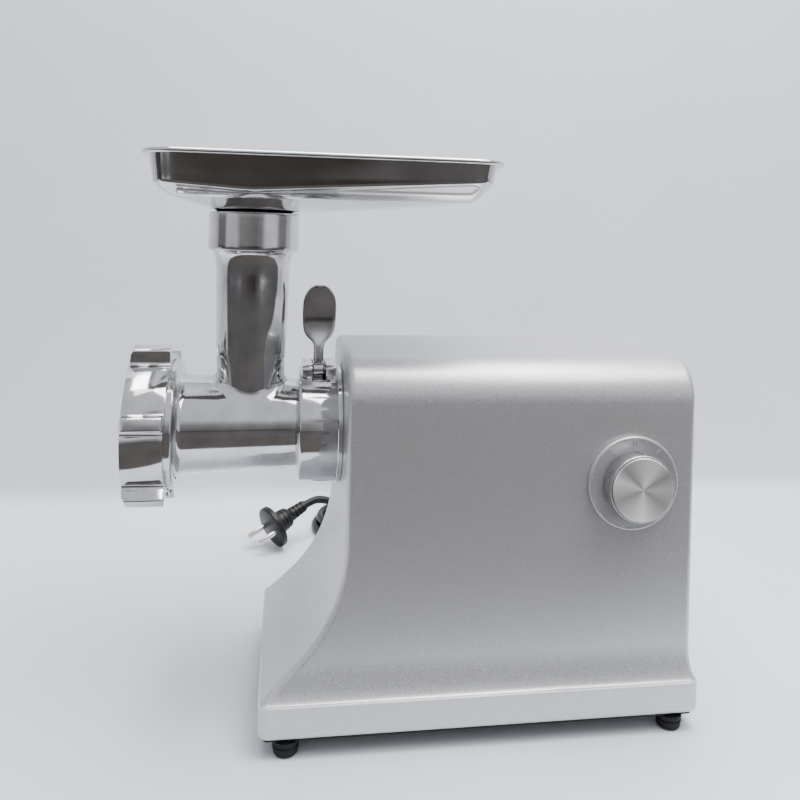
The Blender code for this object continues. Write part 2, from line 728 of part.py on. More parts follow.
def make_grinder_head():
    mouth_rear = RING_REAR + MOUTH_BACK
    outside = [(MOUTH_FRONT, MOUTH_RADIUS - EDGE), (MOUTH_FRONT + EDGE, MOUTH_RADIUS)]
    outside += [(mouth_rear, MOUTH_RADIUS)]
    slope = (BARREL_FRONT - mouth_rear) / 2
    outside += [(mouth_rear + slope, BARREL_FRONT_RADIUS + slope)]
    outside += [(BARREL_FRONT, BARREL_FRONT_RADIUS), (SLEEVE_FRONT - EDGE, BARREL_REAR_RADIUS)]
    outside += [(SLEEVE_FRONT, SPIGOT_RADIUS), (HEAD_REAR, SPIGOT_RADIUS)]
    head = turned("grinder_head", outside, chrome(), HEAD, sides=40)
    foot = BARREL_FRONT_RADIUS - BARREL_WALL
    low, high = CUP_LOW - AXIS_Z, CUP_TOP - AXIS_Z
    neck = [(0, NECK_LOW_RADIUS), (foot, NECK_LOW_RADIUS), (NECK_TOP - AXIS_Z, NECK_HIGH_RADIUS)]
    neck += [(low, CUP_RADIUS - BARREL_WALL), (low, CUP_RADIUS), (high - EDGE, CUP_RADIUS)]
    neck += [(high, CUP_RADIUS - EDGE)]
    join(head, turned("neck_outside", neck, None, NECK, "Z", 32))
    chamber = [(MOUTH_FRONT - OVERRUN, MOUTH_BORE), (CHAMBER_REAR, MOUTH_BORE), (CHAMBER_REAR, BORE_RADIUS)]
    chamber += [(HEAD_REAR - HEAD_WALL, BORE_RADIUS), (HEAD_REAR - HEAD_WALL, BUSH_RADIUS)]
    chamber += [(HEAD_REAR + OVERRUN, BUSH_RADIUS)]
    floor = CUP_FLOOR - AXIS_Z
    passage = [(0, NECK_BORE), (floor, NECK_BORE), (floor, CUP_BORE), (high + OVERRUN, CUP_BORE)]
    cut(head, turned("barrel_bore", chamber, None, HEAD, sides=40))
    cut(head, turned("neck_bore", passage, None, NECK, "Z", 32))


def make_plate_key():
    """The pin in the mouth that stops the plate from turning."""
    foot = -MOUTH_BORE + 3 * GAP
    low = (MOUTH_FRONT + EDGE, -KEY_WIDTH / 2, foot)
    high = (MOUTH_FRONT + EDGE + KEY_LENGTH, KEY_WIDTH / 2, foot + KEY_HEIGHT)
    block("plate_key", low, high, steel(), HEAD)


def make_head_bush():
    low = HEAD_REAR - HEAD_WALL + GAP
    high = HEAD_REAR - GAP
    tube("head_bush", low, high, BUSH_RADIUS - GAP, JOURNAL_RADIUS + RUN, bronze(), HEAD, sides=24)


def make_cutting_plate():
    low = PLATE_FRONT
    high = low + PLATE_DISC_THICK
    radius = MOUTH_BORE - GAP
    notch = KEY_WIDTH / 2 + GAP
    outline = circle(radius, 48)
    kept = [p for p in outline if not (abs(p[0]) < notch + EDGE and p[1] < 0)]
    start = next(i for i, p in enumerate(kept) if p[0] > 0 > p[1] and kept[i - 1][0] < 0)
    edge = -math.sqrt(radius**2 - notch**2)
    floor = -MOUTH_BORE + 4 * GAP + KEY_HEIGHT
    slot = [(-notch, edge), (-notch, floor), (notch, floor), (notch, edge)]
    plate = prism("cutting_plate", kept[:start] + slot + kept[start:], low, high, steel(), HEAD)
    start, end = low - OVERRUN, high + OVERRUN
    cut(plate, rod("plate_centre", start, end, PIN_RADIUS + RUN, at=HEAD, sides=20))
    for row, reach in PLATE_HOLE_ROWS:
        for i in range(row):
            y, z = circle(reach, row, 0.2)[i]
            place = HEAD + Vector((0, y, z))
            cut(plate, rod(f"hole_{row}_{i}", start, end, PLATE_HOLE_RADIUS, at=place, sides=7))


def make_knife():
    low = KNIFE_FRONT
    high = low + KNIFE_THICK
    wing = KNIFE_TRAIL / 2
    corners = [(KNIFE_HUB, -KNIFE_LEAD), (KNIFE_REACH, -KNIFE_TRAIL)]
    corners += [(KNIFE_REACH, wing), (KNIFE_HUB, KNIFE_TRAIL)]
    points = []
    for i in range(4):
        turn = Matrix.Rotation(math.pi / 2 * i, 2)
        for corner in corners:
            p = turn @ Vector(corner)
            points.append((p.x, p.y))
    knife = prism("knife", points, low, high, steel(), HEAD)
    square = square_outline(SQUARE_SIDE + 2 * GAP)
    cut(knife, prism("knife_square", square, low - OVERRUN, high + OVERRUN, None, HEAD))


def make_auger():
    rear = HEAD_REAR - HEAD_WALL - GAP
    body = [(SCREW_SHOULDER, SCREW_ROOT + EDGE), (rear, SCREW_ROOT), (rear, JOURNAL_RADIUS)]
    body += [(HEAD_REAR + 2 * GAP, JOURNAL_RADIUS)]
    auger = turned("auger", body, steel(), HEAD, sides=24)
    low, high = SCREW_SHOULDER - KNIFE_THICK, SCREW_SHOULDER + SCREW_FIN
    square = prism("auger_square", square_outline(SQUARE_SIDE), low, high, None, HEAD)
    pin = rod("auger_pin", PLATE_FRONT + RUN, high, PIN_RADIUS, None, HEAD, sides=20)
    tang = prism("auger_tang", square_outline(TANG_SIDE), rear, TANG_END, None, HEAD)
    outer = BORE_RADIUS - SCREW_CLEARANCE
    inner = SCREW_ROOT - SCREW_FIN / 2
    steps = round(SCREW_TURNS * 18)
    start = SCREW_SHOULDER + SCREW_ENDS
    length = rear - SCREW_ENDS - SCREW_FIN - start
    rings = []
    for i in range(steps + 1):
        share = i / steps
        angle = share * SCREW_TURNS * math.tau
        x = start + share * length
        y, z = math.cos(angle), math.sin(angle)
        wide = SCREW_FIN * (1.25 - 0.25 * share)
        ring = [(x - wide / 2, inner), (x + wide, inner), (x + wide * 0.75, outer), (x, outer)]
        rings.append([Vector((along, r * y, r * z)) for along, r in ring])
    flight = loft("auger_flight", rings, None, HEAD)
    join(auger, square, pin, tang, flight)


def lobe_outline():
    """The ring nut's outer outline: a circle with square lobes that have round corners."""
    points = []
    half = LOBE_WIDTH / 2
    wide = half + LOBE_FOOT
    reach = LOBE_RADIUS - LOBE_CORNER
    for i in range(LOBE_COUNT):
        turn = Matrix.Rotation(LOBE_FIRST + math.tau * i / LOBE_COUNT, 2)
        local = [(math.sqrt(RING_RADIUS**2 - wide**2), -wide), (RING_RADIUS + LOBE_FOOT, -half)]
        for k in range(4):
            angle = -math.pi / 2 + math.pi / 2 * k / 3
            x = reach + LOBE_CORNER * math.cos(angle)
            local.append((x, LOBE_CORNER - half + LOBE_CORNER * math.sin(angle)))
        local += [(x, -y) for x, y in reversed(local)]
        points += [turn @ Vector(p) for p in local]
        side = math.asin(wide / RING_RADIUS)
        span = math.tau / LOBE_COUNT - 2 * side
        for k in range(1, 6):
            angle = side + span * k / 6
            points.append(turn @ (RING_RADIUS * Vector((math.cos(angle), math.sin(angle)))))
    return [(p.x, p.y) for p in points]


def make_ring_nut():
    ring = prism("ring_nut", lobe_outline(), RING_FRONT, RING_REAR, chrome(), HEAD)
    front = RING_FRONT + RING_SLOPE
    low = RING_FRONT - OVERRUN
    foot = RING_RADIUS - LOBE_FOOT
    over = LOBE_RADIUS + RUN
    shave = [(low, foot), (low, over + OVERRUN), (front, over + OVERRUN), (front, over), (RING_FRONT, foot)]
    cut(ring, turned("ring_shave", shave, None, HEAD, sides=36, hollow=True))
    seat = RING_FRONT + RING_LIP
    bore = MOUTH_RADIUS + 2 * GAP
    inside = [(low, RING_OPENING), (seat, RING_OPENING), (seat, bore), (RING_REAR + OVERRUN, bore)]
    cut(ring, turned("ring_inside", inside, None, HEAD, sides=40))


# Sleeve and lever


def make_mating_sleeve():
    back = BODY_FRONT - GAP
    step = back - COLLAR_WIDTH
    bore = SPIGOT_RADIUS + SLIDE
    end = CASE_FRONT - GAP
    seat = HEAD_REAR + GAP
    profile = [(SLEEVE_FRONT, bore), (SLEEVE_FRONT, SLEEVE_RADIUS - SLEEVE_EDGE)]
    profile += [(SLEEVE_FRONT + SLEEVE_EDGE, SLEEVE_RADIUS), (step - GAP, SLEEVE_RADIUS)]
    profile += [(step - GAP, SLEEVE_STEP_RADIUS), (back, SLEEVE_STEP_RADIUS), (back, SLEEVE_SPIGOT_RADIUS)]
    profile += [(end, SLEEVE_SPIGOT_RADIUS), (end, SLEEVE_END_BORE), (seat, SLEEVE_END_BORE), (seat, bore)]
    sleeve = turned("mating_sleeve", profile, chrome(), HEAD, sides=44, hollow=True)
    top = BOSS_TOP - AXIS_Z
    foot = (bore + SLEEVE_RADIUS) / 2 - BOSS_RISE
    half = BOSS_HALF_WIDTH
    outline = [(-half, foot), (half, foot), (half, top - BOSS_EDGE), (half - BOSS_EDGE, top)]
    outline += [(BOSS_EDGE - half, top), (-half, top - BOSS_EDGE)]
    join(sleeve, prism("sleeve_boss", outline, SLEEVE_FRONT + BOSS_SET, step - 2 * GAP, None, HEAD))
    side = LEVER_STEM / 2 + SLOT_SIDE
    floor = LEVER_AXIS_Z - AXIS_Z - LEVER_FLOOR
    round_cam = LEVER_CAM + SLOT_ROUND_CAM
    deep = bore - LEVER_CAM
    far = -SLEEVE_RADIUS - OVERRUN
    high = top + OVERRUN
    slot = [(-round_cam, floor), (-round_cam, deep), (round_cam, deep), (round_cam, high)]
    slot += [(far, high), (far, floor)]
    cut(sleeve, prism("lever_slot", slot, LEVER_X - side, LEVER_X + side, None, HEAD))
    low, high = SLEEVE_FRONT + LEVER_PIN_SHORT, step - LEVER_PIN_SHORT
    place = (0, 0, LEVER_AXIS_Z)
    cut(sleeve, rod("pin_hole", low, high, LEVER_PIN_RADIUS + GAP, at=place, sides=16))
    rod("lever_pin", low + GAP, high - GAP, LEVER_PIN_RADIUS, steel(), place, sides=16)
    inner = SLEEVE_STEP_RADIUS + GAP
    tube("sleeve_collar", step, back, COLLAR_RADIUS, inner, chrome(), HEAD, sides=44)


def make_lock_lever():
    """A cam with a stem that widens to a thumb paddle, as (height, half width, middle, half thickness)."""
    top = LEVER_LENGTH
    half = LEVER_STEM / 2
    sections = [(0.0, half, 0.0, 0.0026), (0.0060, half, 0.0, 0.0026), (0.0110, 0.0033, 0.0, 0.0022)]
    sections += [(0.0155, 0.0048, 0.0004, 0.0019), (0.0195, 0.0078, 0.0010, 0.0017)]
    sections += [(0.0240, 0.0100, 0.0016, 0.0016), (0.0310, 0.0109, 0.0021, 0.0016)]
    sections += [(0.0400, 0.0109, 0.0018, 0.0016), (top - 0.0080, 0.0100, 0.0008, 0.0016)]
    sections += [(top - 0.0030, 0.0074, -0.0002, 0.0015), (top - 0.0005, 0.0036, -0.0010, 0.0012)]
    rings = []
    for z, wide, middle, thick in sections:
        rings.append([Vector((wide * x, middle + thick * y, z)) for x, y in circle(1, 14)])
    lever = loft("lock_lever", rings, chrome(), LEVER)
    join(lever, rod("lever_cam", -half, half, LEVER_CAM, None, LEVER, sides=20))
    cut(lever, rod("lever_bore", -OVERRUN, OVERRUN, LEVER_PIN_RADIUS + RUN, None, LEVER, sides=16))


# Tray


def tray_outline(inset):
    """The tray's rounded rectangle with extra points along its sides, in the same order for any inset."""
    low = (TRAY_FRONT + inset, -TRAY_WIDTH / 2 + inset)
    high = (TRAY_FRONT + TRAY_LENGTH - inset, TRAY_WIDTH / 2 - inset)
    corners = rounded_outline(low, high, max(TRAY_CORNER - inset, TRAY_LIP), 5)
    points = []
    for quarter in range(4):
        arc = corners[quarter * 6 : quarter * 6 + 6]
        points += arc
        before = Vector(arc[-1])
        after = Vector(corners[(quarter * 6 + 6) % 24])
        extra = 5 if quarter % 2 == 0 else 3
        points += [tuple(before.lerp(after, i / (extra + 1))) for i in range(1, extra + 1)]
    return points


def tray_rings(radius, sheet):
    """Rings from the spout's lower end to the rim. The inside's are a sheet's thickness above."""
    wall = [Vector((x, y, 0)) for x, y in tray_outline(1.4 * TRAY_LIP + sheet)]
    crease = [Vector((x, y, 0)) for x, y in tray_outline(2.3 * TRAY_LIP + sheet)]
    band = [Vector((x, y, 0)) for x, y in tray_outline(2.3 * TRAY_LIP + TRAY_BAND)]
    centre = Vector((NECK_X, 0, 0))
    spout = [centre + (p - centre).normalized() * radius for p in band]
    low = TRAY_FLOOR_Z - TRAY_SPOUT_LENGTH

    def lift(p, base, slope):
        return base + slope * abs(p.x - NECK_X) + sheet

    rings = [[Vector((p.x, p.y, low)) for p in spout]]
    rings.append([Vector((p.x, p.y, TRAY_FLOOR_Z + sheet)) for p in spout])
    for share in (0.12, 0.45, 1.0):
        ring = []
        for a, b in zip(spout, band):
            p = a.lerp(b, share)
            end = lift(b, TRAY_CREASE_Z - TRAY_BAND_DROP, TRAY_BAND_SLOPE)
            rise = (end - sheet - TRAY_FLOOR_Z) * share**1.15
            ring.append(Vector((p.x, p.y, TRAY_FLOOR_Z + sheet + rise)))
        rings.append(ring)
    corner = [a.lerp(b, 0.30) for a, b in zip(crease, wall)]
    above = TRAY_CREASE_Z + 0.7 * TRAY_LIP
    rings.append([Vector((p.x, p.y, lift(p, TRAY_CREASE_Z, TRAY_CREASE_SLOPE))) for p in crease])
    rings.append([Vector((p.x, p.y, lift(p, above, TRAY_CREASE_SLOPE))) for p in corner])
    rings.append([Vector((p.x, p.y, TRAY_RIM_Z - 0.7 * TRAY_LIP)) for p in wall])
    return rings


def make_hopper_tray():
    outside = tray_rings(TRAY_SPOUT_RADIUS, 0.0)
    inside = tray_rings(TRAY_SPOUT_BORE, TRAY_SHEET)
    lip = []
    for inset, drop in ((RUN, TRAY_LIP), (0.0, TRAY_LIP / 2), (3 * RUN, 0.0), (TRAY_LIP, 0.0)):
        lip.append([Vector((x, y, TRAY_RIM_Z - drop)) for x, y in tray_outline(inset)])
    loft("hopper_tray", outside + lip + list(reversed(inside)), chrome(), closed=True)


# Drive


def gear_outline(teeth, module, phase):
    """Straight-sided teeth thinner than half a pitch, so that a pair turns freely."""
    pitch = teeth * module / 2
    step = math.tau / teeth
    points = []
    shape = ((-1.15, -0.285), (0.0, -0.205), (0.90, -0.105), (0.90, 0.105), (0.0, 0.205), (-1.15, 0.285))
    if teeth > 30:
        shape = (shape[0], shape[2], shape[3], shape[5])
    for i in range(teeth):
        for rise, side in shape:
            angle = phase + step * (i + side)
            radius = pitch + rise * module
            points.append((radius * math.cos(angle), radius * math.sin(angle)))
    return points


def make_gearbox():
    half = OUTPUT_PITCH + OUTPUT_MODULE + CASE_SPARE
    low = (-half, ROTOR_Z - ROTOR_PITCH - 2 * CASE_SPARE)
    high = (half, AXIS_Z + OUTPUT_PITCH + 2 * OUTPUT_MODULE)
    inner = rounded_outline(low, high, CASE_ROUND)
    wall_low = (low[0] - CASE_WALL, low[1] - CASE_WALL)
    wall_high = (high[0] + CASE_WALL, high[1] + CASE_WALL)
    outer = rounded_outline(wall_low, wall_high, CASE_ROUND + CASE_WALL)
    cover = prism("gearbox_cover", outer, CASE_FRONT, COVER_BACK, steel())
    bush = SHAFT_RADIUS + BUSH_WALL
    cut(cover, rod("cover_bore", CASE_FRONT - OVERRUN, COVER_BACK + OVERRUN, bush, at=HEAD, sides=28))
    case = prism("gearbox_case", outer, CASE_START, CASE_BACK, white_plastic())
    floor = CASE_BACK - CASE_WALL
    cut(case, prism("case_inside", inner, CASE_START - OVERRUN, floor))
    hole = ROTOR_SHAFT_RADIUS + CASE_SEAT
    cut(case, rod("case_rotor_hole", floor - OVERRUN, CASE_BACK + OVERRUN, hole, at=ROTOR, sides=20))
    low, high = CASE_FRONT + GAP, COVER_BACK - GAP
    bore = SHAFT_RADIUS + RUN
    tube("output_bearing", low, high, bush - GAP, bore, bearing_steel(), HEAD, sides=28)
    seat = floor + CASE_SEAT
    place = (0, 0, IDLER_Z)
    tail = SHAFT_TAIL_RADIUS + 2 * GAP
    cut(case, rod("case_output_seat", floor - OVERRUN, seat, tail, at=HEAD, sides=20))
    cut(case, rod("case_pin_seat", floor - OVERRUN, seat, IDLER_PIN_RADIUS + GAP, at=place, sides=20))
    rod("idler_pin", CASE_START + 2 * GAP, seat - GAP, IDLER_PIN_RADIUS, steel(), place, sides=20)


def make_gears():
    """The output shaft and wheel, and the idler between that wheel and the motor's pinion."""
    first = CASE_START + GEAR_START
    first_end = first + GEAR_WIDTH
    second = first_end + GEAR_STEP
    neck = SHAFT_RADIUS - SHAFT_STEP
    shoulder = first_end + CASE_SEAT
    shaft = [(CASE_FRONT - 4 * GAP, SHAFT_RADIUS), (first - GAP, SHAFT_RADIUS), (first - GAP, neck)]
    shaft += [(shoulder, neck), (shoulder, SHAFT_TAIL_RADIUS)]
    shaft += [(CASE_BACK - CASE_WALL + CASE_SEAT - GAP, SHAFT_TAIL_RADIUS)]
    output = turned("output_shaft", shaft, steel(), HEAD, sides=28)
    square = square_outline(TANG_SIDE + 3 * GAP)
    cut(output, prism("shaft_socket", square, CASE_FRONT - OVERRUN, TANG_END + 4 * GAP, None, HEAD))
    teeth = gear_outline(OUTPUT_TEETH, OUTPUT_MODULE, -math.pi / 2)
    gear = prism("output_gear", teeth, first, first_end, white_plastic(), HEAD)
    cut(gear, rod("output_gear_bore", first - OVERRUN, first_end + OVERRUN, neck + GAP, at=HEAD, sides=28))
    place = (0, 0, IDLER_Z)
    phase = math.pi / 2 + math.pi / PINION_TEETH
    teeth = gear_outline(PINION_TEETH, OUTPUT_MODULE, phase)
    idler = prism("idler_gear", teeth, first - 2 * GAP, second + CASE_SEAT, steel(), place)
    teeth = gear_outline(WHEEL_TEETH, WHEEL_MODULE, -math.pi / 2)
    join(idler, prism("idler_wheel", teeth, second, second + WHEEL_WIDTH, None, place))
    low, high = first - OVERRUN, second + WHEEL_WIDTH + OVERRUN
    cut(idler, rod("idler_bore", low, high, IDLER_PIN_RADIUS + RUN, at=place, sides=20))


def slotted_outline():
    """The armature's laminations: poles with a slot for the winding between each two."""
    step = math.tau / ROTOR_SLOTS
    deep = ROTOR_RADIUS - ROTOR_SLOT_DEPTH
    pole = ((-0.40, ROTOR_RADIUS), (0.0, ROTOR_RADIUS), (0.40, ROTOR_RADIUS), (0.44, deep), (0.56, deep))
    points = []
    for i in range(ROTOR_SLOTS):
        for side, radius in pole:
            angle = step * (i + side)
            points.append((radius * math.cos(angle), radius * math.sin(angle)))
    return points


def make_rotor(pinion_low, stator_low, stator_high, shaft_end):
    phase = math.pi / 2 + math.pi / ROTOR_TEETH
    teeth = gear_outline(ROTOR_TEETH, WHEEL_MODULE, phase)
    pinion_high = pinion_low + ROTOR_TOOTH_LENGTH
    pinion = prism("rotor_shaft", teeth, pinion_low, pinion_high, steel(), ROTOR)
    join(pinion, rod("shaft_rod", pinion_high - EDGE, shaft_end, ROTOR_SHAFT_RADIUS, None, ROTOR, sides=20))
    bore = ROTOR_SHAFT_RADIUS + GAP
    low, high = stator_low + EDGE, stator_high - EDGE
    armature = prism("armature", slotted_outline(), low, high, steel(), ROTOR)
    cut(armature, rod("armature_bore", low - OVERRUN, high + OVERRUN, bore, at=ROTOR, sides=20))
    low = stator_high + COMMUTATOR_START
    high = low + COMMUTATOR_LENGTH
    tube("commutator", low, high, COMMUTATOR_RADIUS, bore, copper(), ROTOR, sides=24)


def make_stator(low, high):
    stator = prism("motor_stator", circle(STATOR_RADIUS, 40), low, high, steel(), ROTOR)
    bore = ROTOR_RADIUS + AIR_GAP
    cut(stator, rod("stator_bore", low - OVERRUN, high + OVERRUN, bore, at=ROTOR, sides=32))
    inner, outer = bore + 2 * GAP, STATOR_RADIUS - FIELD_INSET
    for name, side in (("field_coil_upper", 1), ("field_coil_lower", -1)):
        first = 90 * side - FIELD_HALF_ANGLE
        arc = [math.radians(first + FIELD_HALF_ANGLE * i / 4) for i in range(9)]
        ring = [(outer * math.cos(a), outer * math.sin(a)) for a in arc]
        ring += [(inner * math.cos(a), inner * math.sin(a)) for a in reversed(arc)]
        prism(name, ring, high + GAP, high + GAP + FIELD_THICK, copper(), ROTOR)


def make_bracket(end, low):
    """A plate that stands on the base and holds one of the rotor's bearings."""
    foot = BASE_HIGH + 2 * GAP
    half = BRACKET_HALF_WIDTH
    top = ROTOR_Z + half
    inner = half - BRACKET_CORNER
    outline = [(-half, foot), (half, foot), (half, top - BRACKET_CORNER), (inner, top)]
    outline += [(-inner, top), (-half, top - BRACKET_CORNER)]
    high = low + BRACKET_THICK
    bracket = prism(f"{end}_bracket", outline, low, high, steel())
    seat = rod(f"{end}_seat", low - OVERRUN, high + OVERRUN, BEARING_RADIUS + GAP, at=ROTOR, sides=24)
    cut(bracket, seat)
    low -= GAP
    bore = ROTOR_SHAFT_RADIUS + RUN
    tube(f"{end}_bearing", low, low + BEARING_WIDTH, BEARING_RADIUS, bore, bearing_steel(), ROTOR, sides=24)


def make_motor():
    pinion_low = CASE_START + GEAR_START + GEAR_WIDTH + GEAR_STEP - EDGE
    front = CASE_BACK + CASE_SPARE
    stator_low = front + BRACKET_THICK + STATOR_AHEAD
    stator_high = stator_low + STATOR_LENGTH
    rear = stator_high + STATOR_BEHIND
    rear_high = rear + BRACKET_THICK
    make_rotor(pinion_low, stator_low, stator_high, rear_high + SHAFT_END)
    make_stator(stator_low, stator_high)
    make_bracket("front", front)
    make_bracket("rear", rear)
    middle = stator_high + COMMUTATOR_START + COMMUTATOR_LENGTH / 2
    inner, outer = COMMUTATOR_RADIUS + GAP, STATOR_RADIUS - EDGE
    for name, ends in (("brush_holder_near", (-outer, -inner)), ("brush_holder_far", (inner, outer))):
        low = (middle - BRUSH_HALF_WIDTH, ends[0], -BRUSH_HALF_HEIGHT)
        high = (middle + BRUSH_HALF_WIDTH, ends[1], BRUSH_HALF_HEIGHT)
        block(name, low, high, bronze(), ROTOR)
    make_fan(rear_high + FAN_START)


def make_fan(low):
    reach = FAN_RADIUS - EDGE
    half = FAN_BLADE_HALF
    outline = []
    for i in range(FAN_BLADES):
        turn = Matrix.Rotation(math.tau * i / FAN_BLADES, 2)
        for radius, side in ((FAN_HUB, -half), (reach, -half), (reach, half), (FAN_HUB, half)):
            p = turn @ Vector((radius, side))
            outline.append((p.x, p.y))
    high = low + FAN_WIDTH
    fan = prism("cooling_fan", outline, low + FAN_DISC / 2, high, white_plastic(), ROTOR)
    join(fan, rod("fan_disc", low, low + FAN_DISC, FAN_RADIUS, None, ROTOR, sides=32))
    bore = ROTOR_SHAFT_RADIUS + GAP
    cut(fan, rod("fan_bore", low - OVERRUN, high + OVERRUN, bore, at=ROTOR, sides=20))


# Cord and plug


def make_gland():
    start = BODY_BACK + GAP
    flange = start + 0.0030
    profile = [(start, GLAND_FLANGE_RADIUS), (flange, GLAND_FLANGE_RADIUS)]
    profile += [(flange + 2 * GAP, GLAND_NECK_RADIUS), (start + GLAND_LENGTH, CORD_RADIUS + CORD_JACKET)]
    turned("cord_gland", profile, black_rubber(), (0, GLAND_Y, GLAND_Z), sides=20)


def smooth(points, count):
    """Points at even steps of a Catmull-Rom curve through the given ones."""
    knots = [points[0] * 2 - points[1]] + list(points) + [points[-1] * 2 - points[-2]]
    fine = []
    for k in range(1, len(knots) - 2):
        a, b, c, d = knots[k - 1 : k + 3]
        for i in range(24):
            t = i / 24
            bend = (2 * a - 5 * b + 4 * c - d) * t**2 + (3 * b - a - 3 * c + d) * t**3
            fine.append(0.5 * (2 * b + (c - a) * t + bend))
    fine.append(points[-1])
    lengths = [0.0]
    for p, q in zip(fine, fine[1:]):
        lengths.append(lengths[-1] + (q - p).length)
    made = []
    k = 0
    for i in range(count):
        want = lengths[-1] * i / (count - 1)
        while k < len(fine) - 2 and lengths[k + 1] < want:
            k += 1
        made.append(fine[k].lerp(fine[k + 1], (want - lengths[k]) / (lengths[k + 1] - lengths[k])))
    return made


def cord_tube(name, points, count):
    curve = bpy.data.curves.new(name, "CURVE")
    curve.dimensions = "3D"
    curve.bevel_depth = CORD_RADIUS
    curve.bevel_resolution = 2
    curve.use_fill_caps = True
    spline = curve.splines.new("POLY")
    route = smooth(points, count)
    spline.points.add(len(route) - 1)
    for target, p in zip(spline.points, route):
        target.co = (*p, 1.0)
    made = bpy.data.objects.new(name, curve)
    bpy.context.scene.collection.objects.link(made)
    made.parent = FRAME
    curve.materials.append(black_rubber())


def lead_route():
    """Out of the gland, down to the surface, round behind the housing and up to the coil's outer turn."""
    start = BODY_BACK + GLAND_LENGTH + 3 * GAP
    low = CORD_RADIUS + CORD_REST
    return [
        Vector((start, GLAND_Y, GLAND_Z)),
        Vector((start + 0.006, GLAND_Y, GLAND_Z)),
        Vector((0.3039, 0.0478, 0.0532)),
        Vector((0.3145, 0.0553, 0.0457)),
        Vector((0.3184, 0.0655, 0.0350)),
        Vector((0.3175, 0.0800, 0.0210)),
        Vector((0.3130, 0.0960, 0.0095)),
        Vector((0.3030, 0.1120, 0.0042)),
        Vector((0.2890, 0.1255, low)),
        Vector((0.2700, 0.1370, low)),
        Vector((0.2450, 0.1480, low)),
        Vector((0.2150, 0.1595, low)),
        Vector((0.1800, 0.1730, low)),
        Vector((0.1400, 0.1885, low)),
        Vector((0.1000, 0.2043, low)),
    ]


def make_cord():
    cord_tube("cord_lead", lead_route(), 26)
    place = (COIL_X, COIL_Y, 0)
    tube("cord_coil", CORD_REST, COIL_HEIGHT, COIL_OUTER, COIL_INNER, black_rubber(), place, "Z", 36)
    tail = (PLUG_TAIL - PLUG_CENTRE).normalized()
    begin = PLUG_TAIL + tail * GAP
    points = [begin, begin + tail * 0.006]
    points += [Vector((0.0500, 0.2405, 0.0300)), Vector((0.0590, 0.2450, 0.0215))]
    points.append(Vector((0.0650, 0.2490, COIL_HEIGHT + CORD_RADIUS + GAP)))
    cord_tube("cord_tail", points, 7)


def make_plug():
    """A round two-pin plug, built along +X and then turned so that its tail points at PLUG_TAIL."""
    line = PLUG_TAIL - PLUG_CENTRE
    turn = line.to_track_quat("X", "Z").to_matrix().to_4x4()
    place = Matrix.Translation(PLUG_CENTRE) @ turn
    length = line.length
    flange = PLUG_FLANGE_RADIUS
    profile = [(-0.0025, flange - EDGE), (-0.0015, flange), (0.0020, flange), (0.0030, flange - EDGE)]
    profile += [(0.0036, 0.0110), (0.0170, 0.0090), (0.0190, 0.0058)]
    profile += [(length - RUN, CORD_RADIUS + CORD_JACKET)]
    body = turned("plug_body", profile, black_rubber(), sides=28)
    body.matrix_local = place
    pin_profile = [(-PLUG_PIN_END, PLUG_PIN_RADIUS - EDGE), (EDGE - PLUG_PIN_END, PLUG_PIN_RADIUS)]
    pin_profile += [(-0.0025 - GAP, PLUG_PIN_RADIUS)]
    for name, side in (("plug_pin_a", -PLUG_PIN_SIDE), ("plug_pin_b", PLUG_PIN_SIDE)):
        pin = turned(name, pin_profile, chrome(), sides=14)
        pin.matrix_local = place @ Matrix.Translation((0, side, 0))


clear_scene()
FRAME = empty("grinder_frame", (-CENTRE_X, -CENTRE_Y, 0))
make_housing_shell()
make_front_panel()
make_base_plinth()
make_base_plate()
make_feet()
make_dial_ring()
make_knob()
make_switch()
make_grinder_head()
make_plate_key()
make_head_bush()
make_cutting_plate()
make_knife()
make_auger()
make_ring_nut()
make_mating_sleeve()
make_lock_lever()
make_hopper_tray()
make_gearbox()
make_gears()
make_motor()
make_gland()
make_cord()
make_plug()
bpy.context.view_layer.update()
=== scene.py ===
"""Looks of the electric meat grinder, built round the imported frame. Metres, +Z up."""

import json
from math import asin, copysign, cos, pi, radians, sin, sqrt, tan, tau

import bmesh
import bpy
from mathutils import Matrix, Vector


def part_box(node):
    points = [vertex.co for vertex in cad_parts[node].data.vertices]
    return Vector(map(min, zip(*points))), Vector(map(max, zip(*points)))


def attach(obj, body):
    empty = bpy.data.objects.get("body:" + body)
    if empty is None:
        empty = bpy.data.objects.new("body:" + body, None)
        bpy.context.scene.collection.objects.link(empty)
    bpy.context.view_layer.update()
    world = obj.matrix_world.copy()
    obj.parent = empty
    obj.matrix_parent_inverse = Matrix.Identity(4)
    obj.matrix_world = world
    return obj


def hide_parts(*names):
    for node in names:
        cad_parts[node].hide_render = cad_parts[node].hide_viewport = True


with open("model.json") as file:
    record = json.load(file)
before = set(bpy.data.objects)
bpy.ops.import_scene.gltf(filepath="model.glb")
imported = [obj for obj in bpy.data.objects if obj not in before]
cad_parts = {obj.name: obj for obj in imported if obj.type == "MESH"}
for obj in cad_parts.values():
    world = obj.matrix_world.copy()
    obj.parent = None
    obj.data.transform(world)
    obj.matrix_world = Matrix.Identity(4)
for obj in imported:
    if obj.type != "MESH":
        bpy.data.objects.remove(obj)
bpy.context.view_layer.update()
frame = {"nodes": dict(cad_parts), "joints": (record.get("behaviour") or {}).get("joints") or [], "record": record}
JOINTS = {joint["name"]: joint for joint in frame["joints"]}

# The machine's own frame: x from the front of the base, y from the screw's axis, z from the floor
AXIS = Vector(JOINTS["ring_nut_turn"]["pos_m"])
ORIGIN = Vector((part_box("base_plinth")[0].x, AXIS.y, 0.0))
AXIS_Z = AXIS.z
HEAD = Vector((0, 0, AXIS_Z))


def low(node):
    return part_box(node)[0] - ORIGIN


def high(node):
    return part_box(node)[1] - ORIGIN


